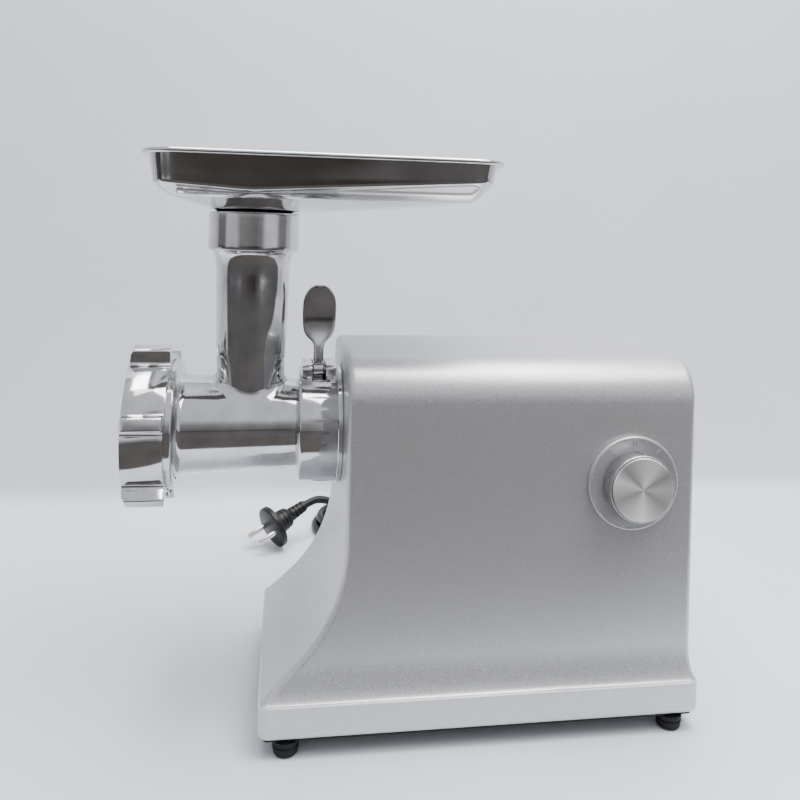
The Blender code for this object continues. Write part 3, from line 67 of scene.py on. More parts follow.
def middle(node):
    return (low(node) + high(node)) / 2


def half_size(node):
    return (high(node) - low(node)) / 2


def add(name, data):
    made = bpy.data.objects.new(name, data)
    bpy.context.scene.collection.objects.link(made)
    return made


# How far a cutter runs past what it cuts
OVERRUN = 0.01

# Turns a shape drawn in X and Y, and made along Z, to lie along another axis
TURN = {
    "X": Matrix(((0, 0, 1), (1, 0, 0), (0, 1, 0))).to_4x4(),
    "-Y": Matrix(((1, 0, 0), (0, 0, -1), (0, 1, 0))).to_4x4(),
    "Z": Matrix.Identity(4),
}


# Camera

CAMERA_PLACE = Vector((0.0087, -0.5078, 0.296))
CAMERA_YAW = radians(8.35)
CAMERA_ROLL = radians(1.51)
CAMERA_LENS = 34.97
CAMERA_SHIFT = -0.214


def make_camera():
    data = bpy.data.cameras.new("camera")
    data.sensor_width = 36
    data.lens = CAMERA_LENS
    data.shift_y = CAMERA_SHIFT
    data.clip_start = 0.01
    camera = add("camera", data)
    ahead = Vector((sin(CAMERA_YAW), cos(CAMERA_YAW), 0))
    right = Vector((cos(CAMERA_YAW), -sin(CAMERA_YAW), 0))
    up = Vector((0, 0, 1))
    across = right * cos(CAMERA_ROLL) + up * sin(CAMERA_ROLL)
    upward = -right * sin(CAMERA_ROLL) + up * cos(CAMERA_ROLL)
    turn = Matrix((across, upward, -ahead)).transposed().to_4x4()
    camera.matrix_world = Matrix.Translation(CAMERA_PLACE + ORIGIN) @ turn
    bpy.context.scene.camera = camera


# Materials


class Nodes:
    """A node tree under construction."""

    def __init__(self, tree):
        self.tree = tree

    def node(self, kind, **settings):
        made = self.tree.nodes.new("ShaderNode" + kind)
        for key, value in settings.items():
            setattr(made, key, value)
        return made

    def link(self, a, b):
        self.tree.links.new(a, b)

    def ramp(self, value, stops):
        made = self.node("ValToRGB")
        ramp = made.color_ramp
        while len(ramp.elements) < len(stops):
            ramp.elements.new(0.5)
        for element, (at, colour) in zip(ramp.elements, stops):
            element.position = at
            shade = colour if isinstance(colour, tuple) else (colour,) * 3
            element.color = (*shade, 1.0)
        self.link(value, made.inputs["Fac"])
        return made.outputs["Color"]


class Look(Nodes):
    """A material under construction: short names for the nodes that every finish here uses."""

    def __init__(self, name, roughness=0.4, metallic=0.0):
        self.made = bpy.data.materials.new(name)
        self.made.use_nodes = True
        super().__init__(self.made.node_tree)
        self.shader = self.tree.nodes["Principled BSDF"]
        self.shader.inputs["Roughness"].default_value = roughness
        self.shader.inputs["Metallic"].default_value = metallic
        self.place = self.node("TexCoord").outputs["Object"]

    def noise(self, scale, detail, stretch=None):
        made = self.node("TexNoise")
        made.inputs["Scale"].default_value = scale
        made.inputs["Detail"].default_value = detail
        if stretch:
            mapping = self.node("Mapping")
            mapping.inputs["Scale"].default_value = stretch
            self.link(self.place, mapping.inputs["Vector"])
            self.link(mapping.outputs["Vector"], made.inputs["Vector"])
        else:
            self.link(self.place, made.inputs["Vector"])
        return made.outputs["Fac"]

    def colour(self, value, stops):
        self.link(self.ramp(value, stops), self.shader.inputs["Base Color"])

    def rough(self, value, least, most):
        made = self.node("MapRange")
        made.inputs["To Min"].default_value = least
        made.inputs["To Max"].default_value = most
        self.link(value, made.inputs["Value"])
        self.link(made.outputs["Result"], self.shader.inputs["Roughness"])

    def bump(self, value, strength, distance):
        made = self.node("Bump")
        made.inputs["Strength"].default_value = strength
        made.inputs["Distance"].default_value = distance
        self.link(value, made.inputs["Height"])
        self.link(made.outputs["Normal"], self.shader.inputs["Normal"])


def silver_paint():
    """Metallic paint: bright and dark flakes in one coat."""
    look = Look("silver_paint", metallic=0.62)
    flakes = look.noise(2600, 1.0)
    look.colour(flakes, ((0.3, (0.36, 0.36, 0.37)), (0.5, (0.5, 0.5, 0.51)), (0.72, (0.78, 0.78, 0.79))))
    look.rough(look.noise(60, 3.0), 0.33, 0.42)
    look.bump(look.noise(1500, 2.0), 0.1, 0.0002)
    return look.made


def copper():
    """Enamelled wire, wound side by side."""
    look = Look("copper", metallic=1.0)
    wires = look.noise(900, 2.0, (1, 1, 8))
    look.colour(wires, ((0.3, (0.5, 0.2, 0.1)), (0.7, (0.78, 0.4, 0.24))))
    look.rough(look.noise(300, 3.0), 0.25, 0.4)
    look.bump(wires, 0.4, 0.0004)
    return look.made


def finish(name, grain, shades, gloss_grain, gloss, bump_grain=None, bump=None, metallic=1.0, specular=None):
    """Mottled colour, uneven gloss and a fine bump. A grain is a noise's scale, detail and stretch."""
    look = Look(name, metallic=metallic)
    if specular:
        look.shader.inputs["Specular IOR Level"].default_value = specular
    look.colour(look.noise(*grain), ((0.3, shades[0]), (0.7, shades[1])))
    look.rough(look.noise(*gloss_grain), *gloss)
    if bump:
        look.bump(look.noise(*bump_grain), *bump)
    return look.made


def machined_steel():
    shades = ((0.36, 0.36, 0.38), (0.54, 0.54, 0.56))
    grain = (200, 4.0, (6, 1, 1))
    bump_grain = (900, 2.0, (6, 1, 1))
    return finish("machined_steel", grain, shades, (300, 3.0), (0.28, 0.42), bump_grain, (0.1, 0.0001))


def spun_face_painted_light(centre):
    """Aluminium turned on a lathe: fine rings, with painted highlights and shade in sectors round the centre."""
    look = Look("spun_face_painted_light", metallic=0.4, roughness=0.3)
    apart = look.node("SeparateXYZ")
    shifted = look.node("Mapping")
    shifted.inputs["Location"].default_value = -centre
    look.link(look.place, shifted.inputs["Vector"])
    look.link(shifted.outputs["Vector"], apart.inputs["Vector"])
    angle = look.node("Math", operation="ARCTAN2")
    look.link(apart.outputs["Z"], angle.inputs[0])
    look.link(apart.outputs["X"], angle.inputs[1])
    turned_by = look.node("MapRange")
    turned_by.inputs["From Min"].default_value = -pi
    turned_by.inputs["From Max"].default_value = pi
    look.link(angle.outputs["Value"], turned_by.inputs["Value"])
    # Painted highlights and shade: the colour runs through light and dark sectors round the centre of the face
    dark, mid, light = (0.4, 0.39, 0.39), (0.68, 0.67, 0.67), (0.98, 0.98, 0.98)
    painted_light_wedges = ((0.0, mid), (0.06, dark), (0.16, mid), (0.25, light), (0.31, mid), (0.4, dark), (0.5, mid))
    painted_light_wedges += ((0.58, dark), (0.66, light), (0.72, light), (0.8, mid), (0.87, dark), (0.94, light))
    painted_light_wedges += ((1.0, mid),)
    look.colour(turned_by.outputs["Result"], painted_light_wedges)
    rings = look.node("TexWave", wave_type="RINGS", rings_direction="SPHERICAL")
    rings.inputs["Scale"].default_value = 900
    rings.inputs["Distortion"].default_value = 0.5
    look.link(shifted.outputs["Vector"], rings.inputs["Vector"])
    look.bump(rings.outputs["Fac"], 0.06, 0.0001)
    return look.made


PAINT = ((0.55, 0.56, 0.58), (0.72, 0.73, 0.75))
POLISHED = ((0.54, 0.54, 0.55), (0.68, 0.68, 0.69))
GROUND = ((0.42, 0.42, 0.43), (0.62, 0.62, 0.63))
CAST = ((0.5, 0.5, 0.5), (0.68, 0.68, 0.69))
NICKEL = ((0.62, 0.6, 0.55), (0.8, 0.78, 0.73))
NYLON = ((0.7, 0.69, 0.64), (0.8, 0.79, 0.75))
BRONZE = ((0.42, 0.3, 0.14), (0.62, 0.46, 0.24))
ACROSS = (1, 1, 0.1)

# Every material slot with its finish. The arguments go in finish's order
LOOKS = {"silver_paint": silver_paint()}
for slot, *values in (
    (
        "plinth_paint", "plinth_paint", (2600, 1), PAINT, (60, 3), (0.36, 0.46), (1500, 2),
        (0.1, 0.0002), 0.25,
    ),
    (
        "polished_metal", "polished_metal", (90, 4), POLISHED, (220, 5, (1, 1, 0.25)), (0.05, 0.13),
        (160, 2), (0.05, 0.0004),
    ),
    (
        "stainless", "stainless", (40, 4), (0.54, 0.7), (300, 5, (0.1, 1, 1)), (0.06, 0.14),
        (60, 2), (0.04, 0.0006),
    ),
    (
        "tool_steel", "ground_steel", (300, 4, (1, 1, 0.2)), GROUND, (400, 4, ACROSS), (0.2, 0.36),
        (900, 2, ACROSS), (0.12, 0.0001),
    ),
    ("auger_casting", "cast_metal", (150, 4), CAST, (260, 4), (0.24, 0.42), (700, 3), (0.15, 0.0002)),
    (
        "black_plastic", "black_plastic", (500, 3), (0.004, 0.01), (400, 3), (0.36, 0.52),
        (1600, 2), (0.2, 0.0002), 0, 0.22,
    ),
    (
        "black_rubber", "black_rubber", (300, 3), (0.005, 0.011), (300, 3), (0.5, 0.7), (1100, 2),
        (0.2, 0.0002), 0, 0.22,
    ),
    (
        "cord_black", "cord_black", (240, 3), (0.004, 0.009), (200, 3), (0.3, 0.46), (900, 2),
        (0.1, 0.0002), 0, 0.25,
    ),
    ("pin_metal", "nickel", (200, 3), NICKEL, (300, 3), (0.14, 0.26)),
    ("gear_plastic", "nylon", (200, 3), NYLON, (200, 3), (0.42, 0.56), (700, 2), (0.1, 0.0002), 0),
    ("bronze", "bronze", (300, 3), BRONZE, (300, 3), (0.3, 0.45)),
):
    LOOKS[slot] = finish(*values)
LOOKS["machined_steel"] = machined_steel()
LOOKS["copper"] = copper()
LOOKS["knob_metal"] = machined_steel()


# Tools


def mesh_object(name, points, faces, sharp=35):
    mesh = bpy.data.meshes.new(name)
    build = bmesh.new()
    corners = [build.verts.new(p) for p in points]
    for face in faces:
        build.faces.new([corners[i] for i in face])
    bmesh.ops.recalc_face_normals(build, faces=build.faces)
    if build.calc_volume(signed=True) < 0:
        bmesh.ops.reverse_faces(build, faces=build.faces)
    build.to_mesh(mesh)
    build.free()
    mesh.shade_smooth()
    mesh.set_sharp_from_angle(angle=radians(sharp))
    return add(name, mesh)


def ring_faces(rings, count, closed):
    """Quads between rings of points, and a cap on each end unless the rings close on themselves."""
    faces = []
    pairs = len(rings) if closed else len(rings) - 1
    for k in range(pairs):
        a = k * count
        b = ((k + 1) % len(rings)) * count
        for i in range(count):
            j = (i + 1) % count
            faces.append((a + i, a + j, b + j, b + i))
    if not closed:
        last = (len(rings) - 1) * count
        faces.append(tuple(range(count)))
        faces.append(tuple(last + i for i in reversed(range(count))))
    return faces


def loft(name, rings, closed=False, sharp=35):
    """A solid through rings that all have the same number of points."""
    points = [p for ring in rings for p in ring]
    return mesh_object(name, points, ring_faces(rings, len(rings[0]), closed), sharp)


def circle(radius, count, phase=0.0):
    angles = [phase + tau / count * i for i in range(count)]
    return [(radius * cos(angle), radius * sin(angle)) for angle in angles]


def turned(name, profile, at=(0, 0, 0), axis="X", sides=96, hollow=False, sharp=35):
    """A turned solid. The profile is pairs of distance along the axis and radius."""
    rings = []
    for along, radius in profile:
        rings.append([Vector(at) + TURN[axis] @ Vector((x, y, along)) for x, y in circle(radius, sides)])
    return loft(name, rings, hollow, sharp)


def prism(name, outline, bottom, top, at=(0, 0, 0), axis="X"):
    """An outline carried along the axis from one level to another."""
    rings = [[Vector(at) + TURN[axis] @ Vector((x, y, level)) for x, y in outline] for level in (bottom, top)]
    return loft(name, rings)


def rounded_outline(lowest, highest, radius, steps=6):
    points = []
    centres = (
        (highest[0] - radius, highest[1] - radius, 0),
        (lowest[0] + radius, highest[1] - radius, 1),
        (lowest[0] + radius, lowest[1] + radius, 2),
        (highest[0] - radius, lowest[1] + radius, 3),
    )
    for x, y, quarter in centres:
        for i in range(steps + 1):
            angle = pi / 2 * (quarter + i / steps)
            points.append((x + radius * cos(angle), y + radius * sin(angle)))
    return points


def arc(centre, radius, start, end, steps):
    """Profile points (along, radius) on an arc, angles in degrees from the along direction."""
    made = []
    for i in range(steps + 1):
        angle = radians(start + (end - start) * i / steps)
        made.append((centre[0] + radius * cos(angle), centre[1] + radius * sin(angle)))
    return made


def boolean(obj, other, operation):
    """Joins or cuts with another object, which is used up."""
    step = obj.modifiers.new(operation, "BOOLEAN")
    step.operation = operation
    step.solver = "EXACT"
    step.object = other
    settle(obj)
    bpy.data.objects.remove(other, do_unlink=True)


def cut(obj, other):
    boolean(obj, other, "DIFFERENCE")


def unite(obj, other):
    boolean(obj, other, "UNION")


def drill(obj, start, end, radius, at, sides, axis="X"):
    cut(obj, turned("drill", [(start, radius), (end, radius)], at, axis, sides))


def settle(obj):
    """Bakes an object's modifiers into its mesh."""
    bpy.context.view_layer.update()
    graph = bpy.context.evaluated_depsgraph_get()
    mesh = bpy.data.meshes.new_from_object(obj.evaluated_get(graph))
    obj.modifiers.clear()
    obj.data = mesh
    mesh.shade_smooth()
    mesh.set_sharp_from_angle(angle=radians(35))


def soften(obj, width, segments, angle):
    """Bevels the edges that turn by more than an angle in degrees."""
    bevel = obj.modifiers.new("edges", "BEVEL")
    bevel.width = width
    bevel.segments = segments
    bevel.limit_method = "ANGLE"
    bevel.angle_limit = radians(angle)
    bevel.harden_normals = True
    settle(obj)


def show(obj, body, look, *nodes, slot=None):
    """Paints a finished piece, puts a mesh in the row frame, and makes it ride and stand for its nodes."""
    if obj.type == "MESH":
        obj.data.transform(Matrix.Translation(ORIGIN))
    obj.data.materials.clear()
    obj.data.materials.append(LOOKS[look] if isinstance(look, str) else look)
    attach(obj, body)
    if nodes:
        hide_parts(*nodes)


# Housing

BODY_FRONT = high("mating_sleeve").x - 0.0033
BODY_BACK = low("cord_gland").x - 0.0003
HALF_BODY = -(high("dial_ring").y) - 0.0003
BODY_TOP = high("housing_shell").z
BASE_HIGH = high("base_plinth").z
BASE_LOW = low("base_plinth").z
BASE_LENGTH = high("base_plinth").x
HALF_BASE = high("base_plinth").y
TOP_ROUND = 0.0245
END_ROUND = 0.0045
FLARE_RADIUS = 0.09
FLARE_ANGLE = radians(46.0)
FLARE_FOOT = 0.0008
SKIRT_HEIGHT = 0.0205
SKIRT_INSET = 0.0006
BODY_WALL = 0.0028
SEAM = 0.0003
SPINDLE_HOLE = 0.0042
CORD_HOLE = 0.0062
SLEEVE_HOLE = 0.0303
VENT_COUNT = 7
VENT_LOW = 0.098
VENT_PITCH = 0.0095
VENT_WIDTH = 0.06
VENT_HEIGHT = 0.0042
VENT_ROUND = 0.002
GLAND = middle("cord_gland")
GLAND.x = BODY_BACK
DIAL = middle("dial_ring")
DIAL.y = 0


def flare_top():
    """The height at which the upright front turns into the flare's curve."""
    drop = BODY_FRONT - FLARE_FOOT - FLARE_RADIUS * (1 - cos(FLARE_ANGLE))
    return BASE_HIGH + drop / tan(FLARE_ANGLE) + FLARE_RADIUS * sin(FLARE_ANGLE)


def front_at(z):
    """Where the front is at a height: upright, then an arc, then a straight slope to the base."""
    below = flare_top() - z
    bend = FLARE_RADIUS * sin(FLARE_ANGLE)
    if below <= 0:
        return BODY_FRONT
    if below <= bend:
        return BODY_FRONT - FLARE_RADIUS + sqrt(FLARE_RADIUS**2 - below**2)
    start = BODY_FRONT - FLARE_RADIUS * (1 - cos(FLARE_ANGLE))
    return start - (below - bend) * tan(FLARE_ANGLE)


def skirt_share(z):
    """How far the sides have spread from the body (0) to the base (1) at a height."""
    t = min(1.0, max(0.0, (BASE_HIGH + SKIRT_HEIGHT - z) / SKIRT_HEIGHT))
    return 1 - sqrt(1 - t * t)


def rounding(z, radius):
    """How far a round of this radius along the top has drawn the side in at a height."""
    rise = z - (BODY_TOP - radius)
    return radius - sqrt(max(0.0, radius**2 - rise**2)) if rise > 0 else 0.0


def housing_levels():
    levels = [BASE_HIGH + SEAM, BODY_TOP]
    levels += [BASE_HIGH + SKIRT_HEIGHT * sin(pi / 2 * i / 12) for i in range(1, 13)]
    levels += [BASE_HIGH + SKIRT_HEIGHT * (1 - cos(pi / 2 * i / 12)) for i in range(1, 6)]
    levels += [flare_top() - FLARE_RADIUS * sin(FLARE_ANGLE * i / 20) for i in range(21)]
    levels += [BODY_TOP - TOP_ROUND * (1 - sin(pi / 2 * i / 18)) for i in range(18)]
    levels += [BODY_TOP - END_ROUND * (1 - sin(pi / 2 * i / 8)) for i in range(8)]
    levels += [flare_top() + (BODY_TOP - TOP_ROUND - flare_top()) * i / 8 for i in range(1, 8)]
    kept = []
    for z in sorted(levels):
        if not kept or z - kept[-1] > 0.00012:
            kept.append(z)
    kept[-1] = BODY_TOP
    return kept


def housing_ring(z, inset):
    """The body's outline at a height, or its inside's with the wall as inset."""
    up = min(z + inset, BODY_TOP) if inset else z
    spread = skirt_share(z)
    half = HALF_BODY + (HALF_BASE - SKIRT_INSET - HALF_BODY) * spread
    half -= rounding(up, TOP_ROUND) + inset
    back = BODY_BACK + (BASE_LENGTH - SKIRT_INSET - BODY_BACK) * spread
    back -= rounding(up, END_ROUND) + inset
    leaning = z < flare_top() - FLARE_RADIUS * sin(FLARE_ANGLE)
    lean = inset / cos(FLARE_ANGLE) if leaning else inset
    front = front_at(z) + rounding(up, END_ROUND) + lean
    radius = max(END_ROUND - inset, 0.0012)
    return [Vector((x, y, z)) for x, y in rounded_outline((front, -half), (back, half), radius, 8)]


def housing_solid(name, inset):
    if not inset:
        return loft(name, [housing_ring(z, 0) for z in housing_levels()])
    levels = [BASE_HIGH - inset] + [z for z in housing_levels() if z < BODY_TOP - inset - 0.001]
    rings = [housing_ring(z, inset) for z in levels]
    rings.append(housing_ring(BODY_TOP - inset, inset))
    return loft(name, rings)


def make_housing():
    """One painted skin over the shell and the front cover, with its joints filled."""
    shell = housing_solid("housing_skin", 0)
    cut(shell, housing_solid("inside", BODY_WALL))
    drill(shell, HALF_BODY - OVERRUN, HALF_BODY + OVERRUN, SPINDLE_HOLE, DIAL, 24, "-Y")
    drill(shell, -OVERRUN, OVERRUN, CORD_HOLE, GLAND, 24)
    drill(shell, -0.03, 0.07, SLEEVE_HOLE, HEAD, 64)
    for i in range(VENT_COUNT):
        lowest = (-VENT_WIDTH / 2, VENT_LOW + i * VENT_PITCH)
        highest = (VENT_WIDTH / 2, VENT_LOW + i * VENT_PITCH + VENT_HEIGHT)
        outline = rounded_outline(lowest, highest, VENT_ROUND, 4)
        cut(shell, prism("vent", outline, BODY_BACK - OVERRUN, BODY_BACK + OVERRUN))
    show(shell, "housing", "silver_paint", "housing_shell", "front_panel")


PLINTH_CORNER = 0.0065
PLINTH_UNDER = 0.004
PLINTH_EDGE = 0.001
PLINTH_WALL = 0.003
WINDOW_FROM = (0.116, -0.045)
WINDOW_TO = (0.184, 0.045)
WINDOW_ROUND = 0.006


def base_outline(inset, radius, steps):
    lowest = (inset, -HALF_BASE + inset)
    highest = (BASE_LENGTH - inset, HALF_BASE - inset)
    return rounded_outline(lowest, highest, radius, steps)


def base_ring(z, inset):
    outline = base_outline(inset, max(PLINTH_CORNER - inset, 0.001), 10)
    return [Vector((x, y, z)) for x, y in outline]


def edge_curve(radius, steps):
    """A quarter round as pairs of how far it draws in and how far it has still to rise or fall."""
    angles = [pi / 2 * i / steps for i in range(steps + 1)]
    return [(radius * (1 - cos(angle)), radius * (1 - sin(angle))) for angle in angles]


def make_plinth():
    """The rim round the foot of the body, hollow, with a window for the motor."""
    rings = [base_ring(BASE_LOW + rest, inset) for inset, rest in reversed(edge_curve(PLINTH_UNDER, 8))]
    rings += [base_ring(BASE_HIGH - rest, inset) for inset, rest in edge_curve(PLINTH_EDGE, 4)]
    plinth = loft("plinth_skin", rings)
    pocket = base_outline(PLINTH_WALL, PLINTH_CORNER - PLINTH_WALL, 6)
    cut(plinth, prism("pocket", pocket, BASE_LOW - OVERRUN, BASE_HIGH - PLINTH_WALL, axis="Z"))
    window = rounded_outline(WINDOW_FROM, WINDOW_TO, WINDOW_ROUND, 4)
    cut(plinth, prism("window", window, 0, BASE_HIGH + OVERRUN, axis="Z"))
    show(plinth, "housing", "plinth_paint", "base_plinth", slot="silver_paint")


def make_feet():
    """Rubber feet with a groove below the rim, each over its screw hole."""
    for end in ("front", "rear"):
        for side in ("near", "far"):
            node = f"foot_{end}_{side}"
            centre = middle(node)
            radius = half_size(node).x
            top = high(node).z
            profile = [(0.0, 0.003), (0.0, radius - 0.0022)]
            profile += [(0.0003, radius - 0.0015), (0.001, radius - 0.0009), (top * 0.55, radius - 0.0003)]
            profile += [(top * 0.6, radius - 0.0009), (top * 0.66, radius - 0.0009)]
            profile += [(top * 0.7, radius - 0.0002), (top, radius), (top, 0.003), (top * 0.4, 0.003)]
            foot = turned(f"{node}_pad", profile, (centre.x, centre.y, 0), "Z", 40, hollow=True)
            show(foot, "housing", "black_rubber", node)


# Dial and knob

MARKS = (("R", 128), ("0", 90), ("1", 52))
MARK_SIZE = 0.0052
MARK_RAISED = 0.00025
MARK_INSET = 0.0049


def make_dial():
    back = -high("dial_ring").y
    face = -low("dial_ring").y
    radius = half_size("dial_ring").x
    profile = [(back, SPINDLE_HOLE), (back, radius - 0.0002), (back + 0.0006, radius)]
    profile += [(face - 0.0012, radius)]
    profile += arc((face - 0.0012, radius - 0.0012), 0.0012, 70, 10, 4)
    profile += [(face, radius - 0.0022), (face - 0.0002, radius - 0.0026), (face - 0.0002, SPINDLE_HOLE)]
    ring = turned("dial_ring_skin", profile, DIAL, "-Y", 96, hollow=True)
    for text, degrees in MARKS:
        make_mark(text, radians(degrees), radius - MARK_INSET, face)
    show(ring, "housing", "silver_paint", "dial_ring")


def make_mark(text, angle, reach, face):
    """A small raised letter or figure on the dial."""
    curve = bpy.data.curves.new("mark_" + text, "FONT")
    curve.body = text
    curve.size = MARK_SIZE
    curve.extrude = MARK_RAISED
    curve.align_x = "CENTER"
    curve.align_y = "CENTER"
    mark = add("dial_mark_" + text, curve)
    place = DIAL + Vector((reach * cos(angle), -face, reach * sin(angle)))
    turn = Matrix.Rotation(angle - pi / 2, 4, Vector((0, -1, 0)))
    mark.matrix_world = Matrix.Translation(place) @ turn @ Matrix.Rotation(pi / 2, 4, "X")
    bpy.context.view_layer.update()
    mesh = bpy.data.meshes.new_from_object(mark)
    mesh.transform(mark.matrix_world)
    bpy.data.objects.remove(mark, do_unlink=True)
    made = add("dial_mark_" + text, mesh)
    show(made, "housing", "silver_paint")


def make_knob():
    """A hollow metal knob with a raised pointer, and the spun cap let into its face."""
    back = -high("control_knob").y
    face = -low("control_knob").y
    radius = half_size("control_knob").x
    cap = half_size("knob_cap").x
    profile = [(back, 0.0035), (back, radius - 0.001), (back + 0.001, radius - 0.0002)]
    profile += arc((face - 0.0009, radius - 0.0009), 0.0009, 88, 5, 5)
    profile += [(face, cap + 0.0003), (face - 0.0011, cap + 0.0003), (face - 0.0011, 0.0006)]
    profile += [(face - 0.0028, 0.0006), (face - 0.0028, 0.0035)]
    knob = turned("knob_skin", profile, DIAL, "-Y", 96, hollow=True)
    show(knob, "knob", "knob_metal", "control_knob", slot="silver_paint")
    front = -low("knob_cap").y
    rear = -high("knob_cap").y
    profile = [(rear, cap - 0.0001), (rear + 0.0002, cap), (front - 0.0004, cap)]
    profile += [(front - 0.0001, cap - 0.0003), (front, cap - 0.0006), (front - 0.0001, cap - 0.0009)]
    profile += [(front - 0.0001, 0.0004)]
    disc = turned("knob_face", profile, DIAL, "-Y", 96)
    show(disc, "knob", spun_face_painted_light(DIAL + ORIGIN), "knob_cap", slot="brushed_cap")
    root = radius - 0.0006
    crest = radius + 0.0003
    outline = [(-0.0005, root), (0.0005, root), (0.0005, crest), (-0.0005, crest)]
    pointer = prism("knob_pointer", outline, back + 0.0012, face - 0.001, DIAL, "-Y")
    show(pointer, "knob", "pin_metal", slot="brushed_cap")


# Grinder head

RING_FRONT = low("ring_nut").x
RING_REAR = high("ring_nut").x
MOUTH_FRONT = low("grinder_head").x
HEAD_REAR = high("grinder_head").x
CUP_TOP = high("grinder_head").z
SLEEVE_FRONT = low("mating_sleeve").x
NECK_X = -0.0113
MOUTH_RADIUS = 0.0397
BARREL_FRONT_RADIUS = 0.0305
BARREL_REAR_RADIUS = 0.0278
SPIGOT_RADIUS = 0.0276
BORE_RADIUS = 0.0245
NECK_BORE = 0.0182
CUP_RADIUS = 0.0287
CUP_LOW = 0.2796
CUP_DEPTH = 0.014
SPOUT_RADIUS = 0.0238
MOUTH_BORE = 0.035
MOUTH_END = -0.066
HEAD_FLOOR = 0.007
BUSH_BORE = 0.011
FLANGE_WIDTH = 0.0042
FLANGE_FOOT = 0.036
FLANGE_EDGE = 0.0012
BARREL_START = -0.049
NECK_RADIUS = 0.0215
NECK_SPREAD = 0.0021
NECK_FILLET = 0.005
NECK_TOP = 0.274


def barrel_radius(x):
    share = (x - BARREL_START) / (SLEEVE_FRONT - 0.001 - BARREL_START)
    return BARREL_FRONT_RADIUS + (BARREL_REAR_RADIUS - BARREL_FRONT_RADIUS) * share


def make_head():
    """One casting: a flanged mouth, a tapered barrel, the spigot behind it, and the neck with its cup."""
    rear = RING_REAR + FLANGE_WIDTH
    edge = MOUTH_RADIUS - FLANGE_EDGE
    profile = [(MOUTH_FRONT, edge), (MOUTH_FRONT + FLANGE_EDGE, MOUTH_RADIUS)]
    profile += [(rear - FLANGE_EDGE, MOUTH_RADIUS)]
    profile += arc((rear - FLANGE_EDGE, edge), FLANGE_EDGE, 80, 10, 4)
    profile += [(rear, FLANGE_FOOT)]
    for degrees in range(10, 91, 10):
        angle = radians(degrees)
        along = rear + 0.0055 - 0.0055 * cos(angle)
        profile.append((along, FLANGE_FOOT - 0.0052 * sin(angle)))
    profile += [(x, barrel_radius(x)) for x in (-0.04, -0.03, -0.02, -0.01, 0.0, 0.01)]
    profile += [(SLEEVE_FRONT - 0.001, BARREL_REAR_RADIUS), (SLEEVE_FRONT, SPIGOT_RADIUS)]
    profile += [(HEAD_REAR, SPIGOT_RADIUS)]
    head = turned("head_casting", profile, HEAD, sides=128, sharp=50)
    unite(head, neck_solid())
    floor = HEAD_REAR - HEAD_FLOOR
    chamber = [(MOUTH_FRONT - OVERRUN, MOUTH_BORE), (MOUTH_END, MOUTH_BORE), (MOUTH_END, BORE_RADIUS)]
    chamber += [(floor, BORE_RADIUS), (floor, BUSH_BORE), (HEAD_REAR + OVERRUN, BUSH_BORE)]
    cut(head, turned("bore", chamber, HEAD, sides=96))
    cup = CUP_TOP - CUP_DEPTH
    seat = SPOUT_RADIUS + 0.0006
    passage = [(AXIS_Z, NECK_BORE), (cup, NECK_BORE), (cup, seat), (CUP_TOP - 0.0008, seat)]
    passage += [(CUP_TOP + 0.001, seat + 0.001), (CUP_TOP + OVERRUN, seat + 0.001)]
    cut(head, turned("throat", passage, (NECK_X, 0, 0), "Z", 96))
    head.data.set_sharp_from_angle(angle=radians(38))
    show(head, "head", "polished_metal", "grinder_head")


def neck_radius(z):
    """The neck widens a little towards the cup."""
    start = AXIS_Z + BARREL_FRONT_RADIUS
    share = max(0.0, (z - start) / (NECK_TOP - start))
    return NECK_RADIUS + NECK_SPREAD * share


def neck_solid():
    """The neck, cup and the fillet that runs out onto the barrel."""
    count = 128
    fillet = NECK_FILLET
    rings = [[Vector((NECK_X + x, y, AXIS_Z + 0.004)) for x, y in circle(0.02, count)]]
    for i in range(9):
        angle = pi / 2 * (1 - i / 8)
        reach = NECK_RADIUS + fillet * (1 - cos(angle))
        ring = []
        for x, y in circle(reach, count):
            barrel = barrel_radius(NECK_X + x)
            surface = AXIS_Z + sqrt(max(barrel**2 - y**2, 0.0001))
            ring.append(Vector((NECK_X + x, y, surface - 0.00025 + fillet * (1 - sin(angle)))))
        rings.append(ring)
    start = AXIS_Z + BARREL_FRONT_RADIUS + fillet + 0.001
    heights = [start + (0.27 - start) * i / 8 for i in range(9)]
    top = [(z, neck_radius(z)) for z in heights]
    top += [(0.2725, 0.02375), (0.275, 0.0242), (0.2775, 0.025), (0.279, 0.026)]
    top += [(CUP_LOW, 0.0272), (CUP_LOW + 0.0002, 0.028)]
    top += arc((CUP_LOW + 0.0014, CUP_RADIUS - 0.001), 0.001, 160, 92, 4)
    top += [(CUP_LOW + 0.004, CUP_RADIUS), (CUP_TOP - 0.004, CUP_RADIUS)]
    top += arc((CUP_TOP - 0.0014, CUP_RADIUS - 0.0014), 0.0014, 88, 5, 5)
    top += [(CUP_TOP, CUP_RADIUS - 0.0022)]
    for z, radius in top:
        rings.append([Vector((NECK_X + x, y, z)) for x, y in circle(radius, count)])
    return loft("neck", rings, sharp=50)


RING_RADIUS = 0.044
RING_THREAD = 0.0403
RING_MOUTH = 0.0315
RING_LIP = 0.004
LOBE_COUNT = 6
LOBE_FIRST = radians(-133)
LOBE_REACH = 0.053
LOBE_WIDTH = 0.0085
LOBE_FOOT = 0.0024
LOBE_CORNER = 0.0016
PLATE_NOTCH = 0.0023
PLATE_HOLE = 0.00235
PLATE_CENTRE = 0.0049
PLATE_ROWS = ((6, 0.0092), (12, 0.0158), (18, 0.0224), (24, 0.0288))


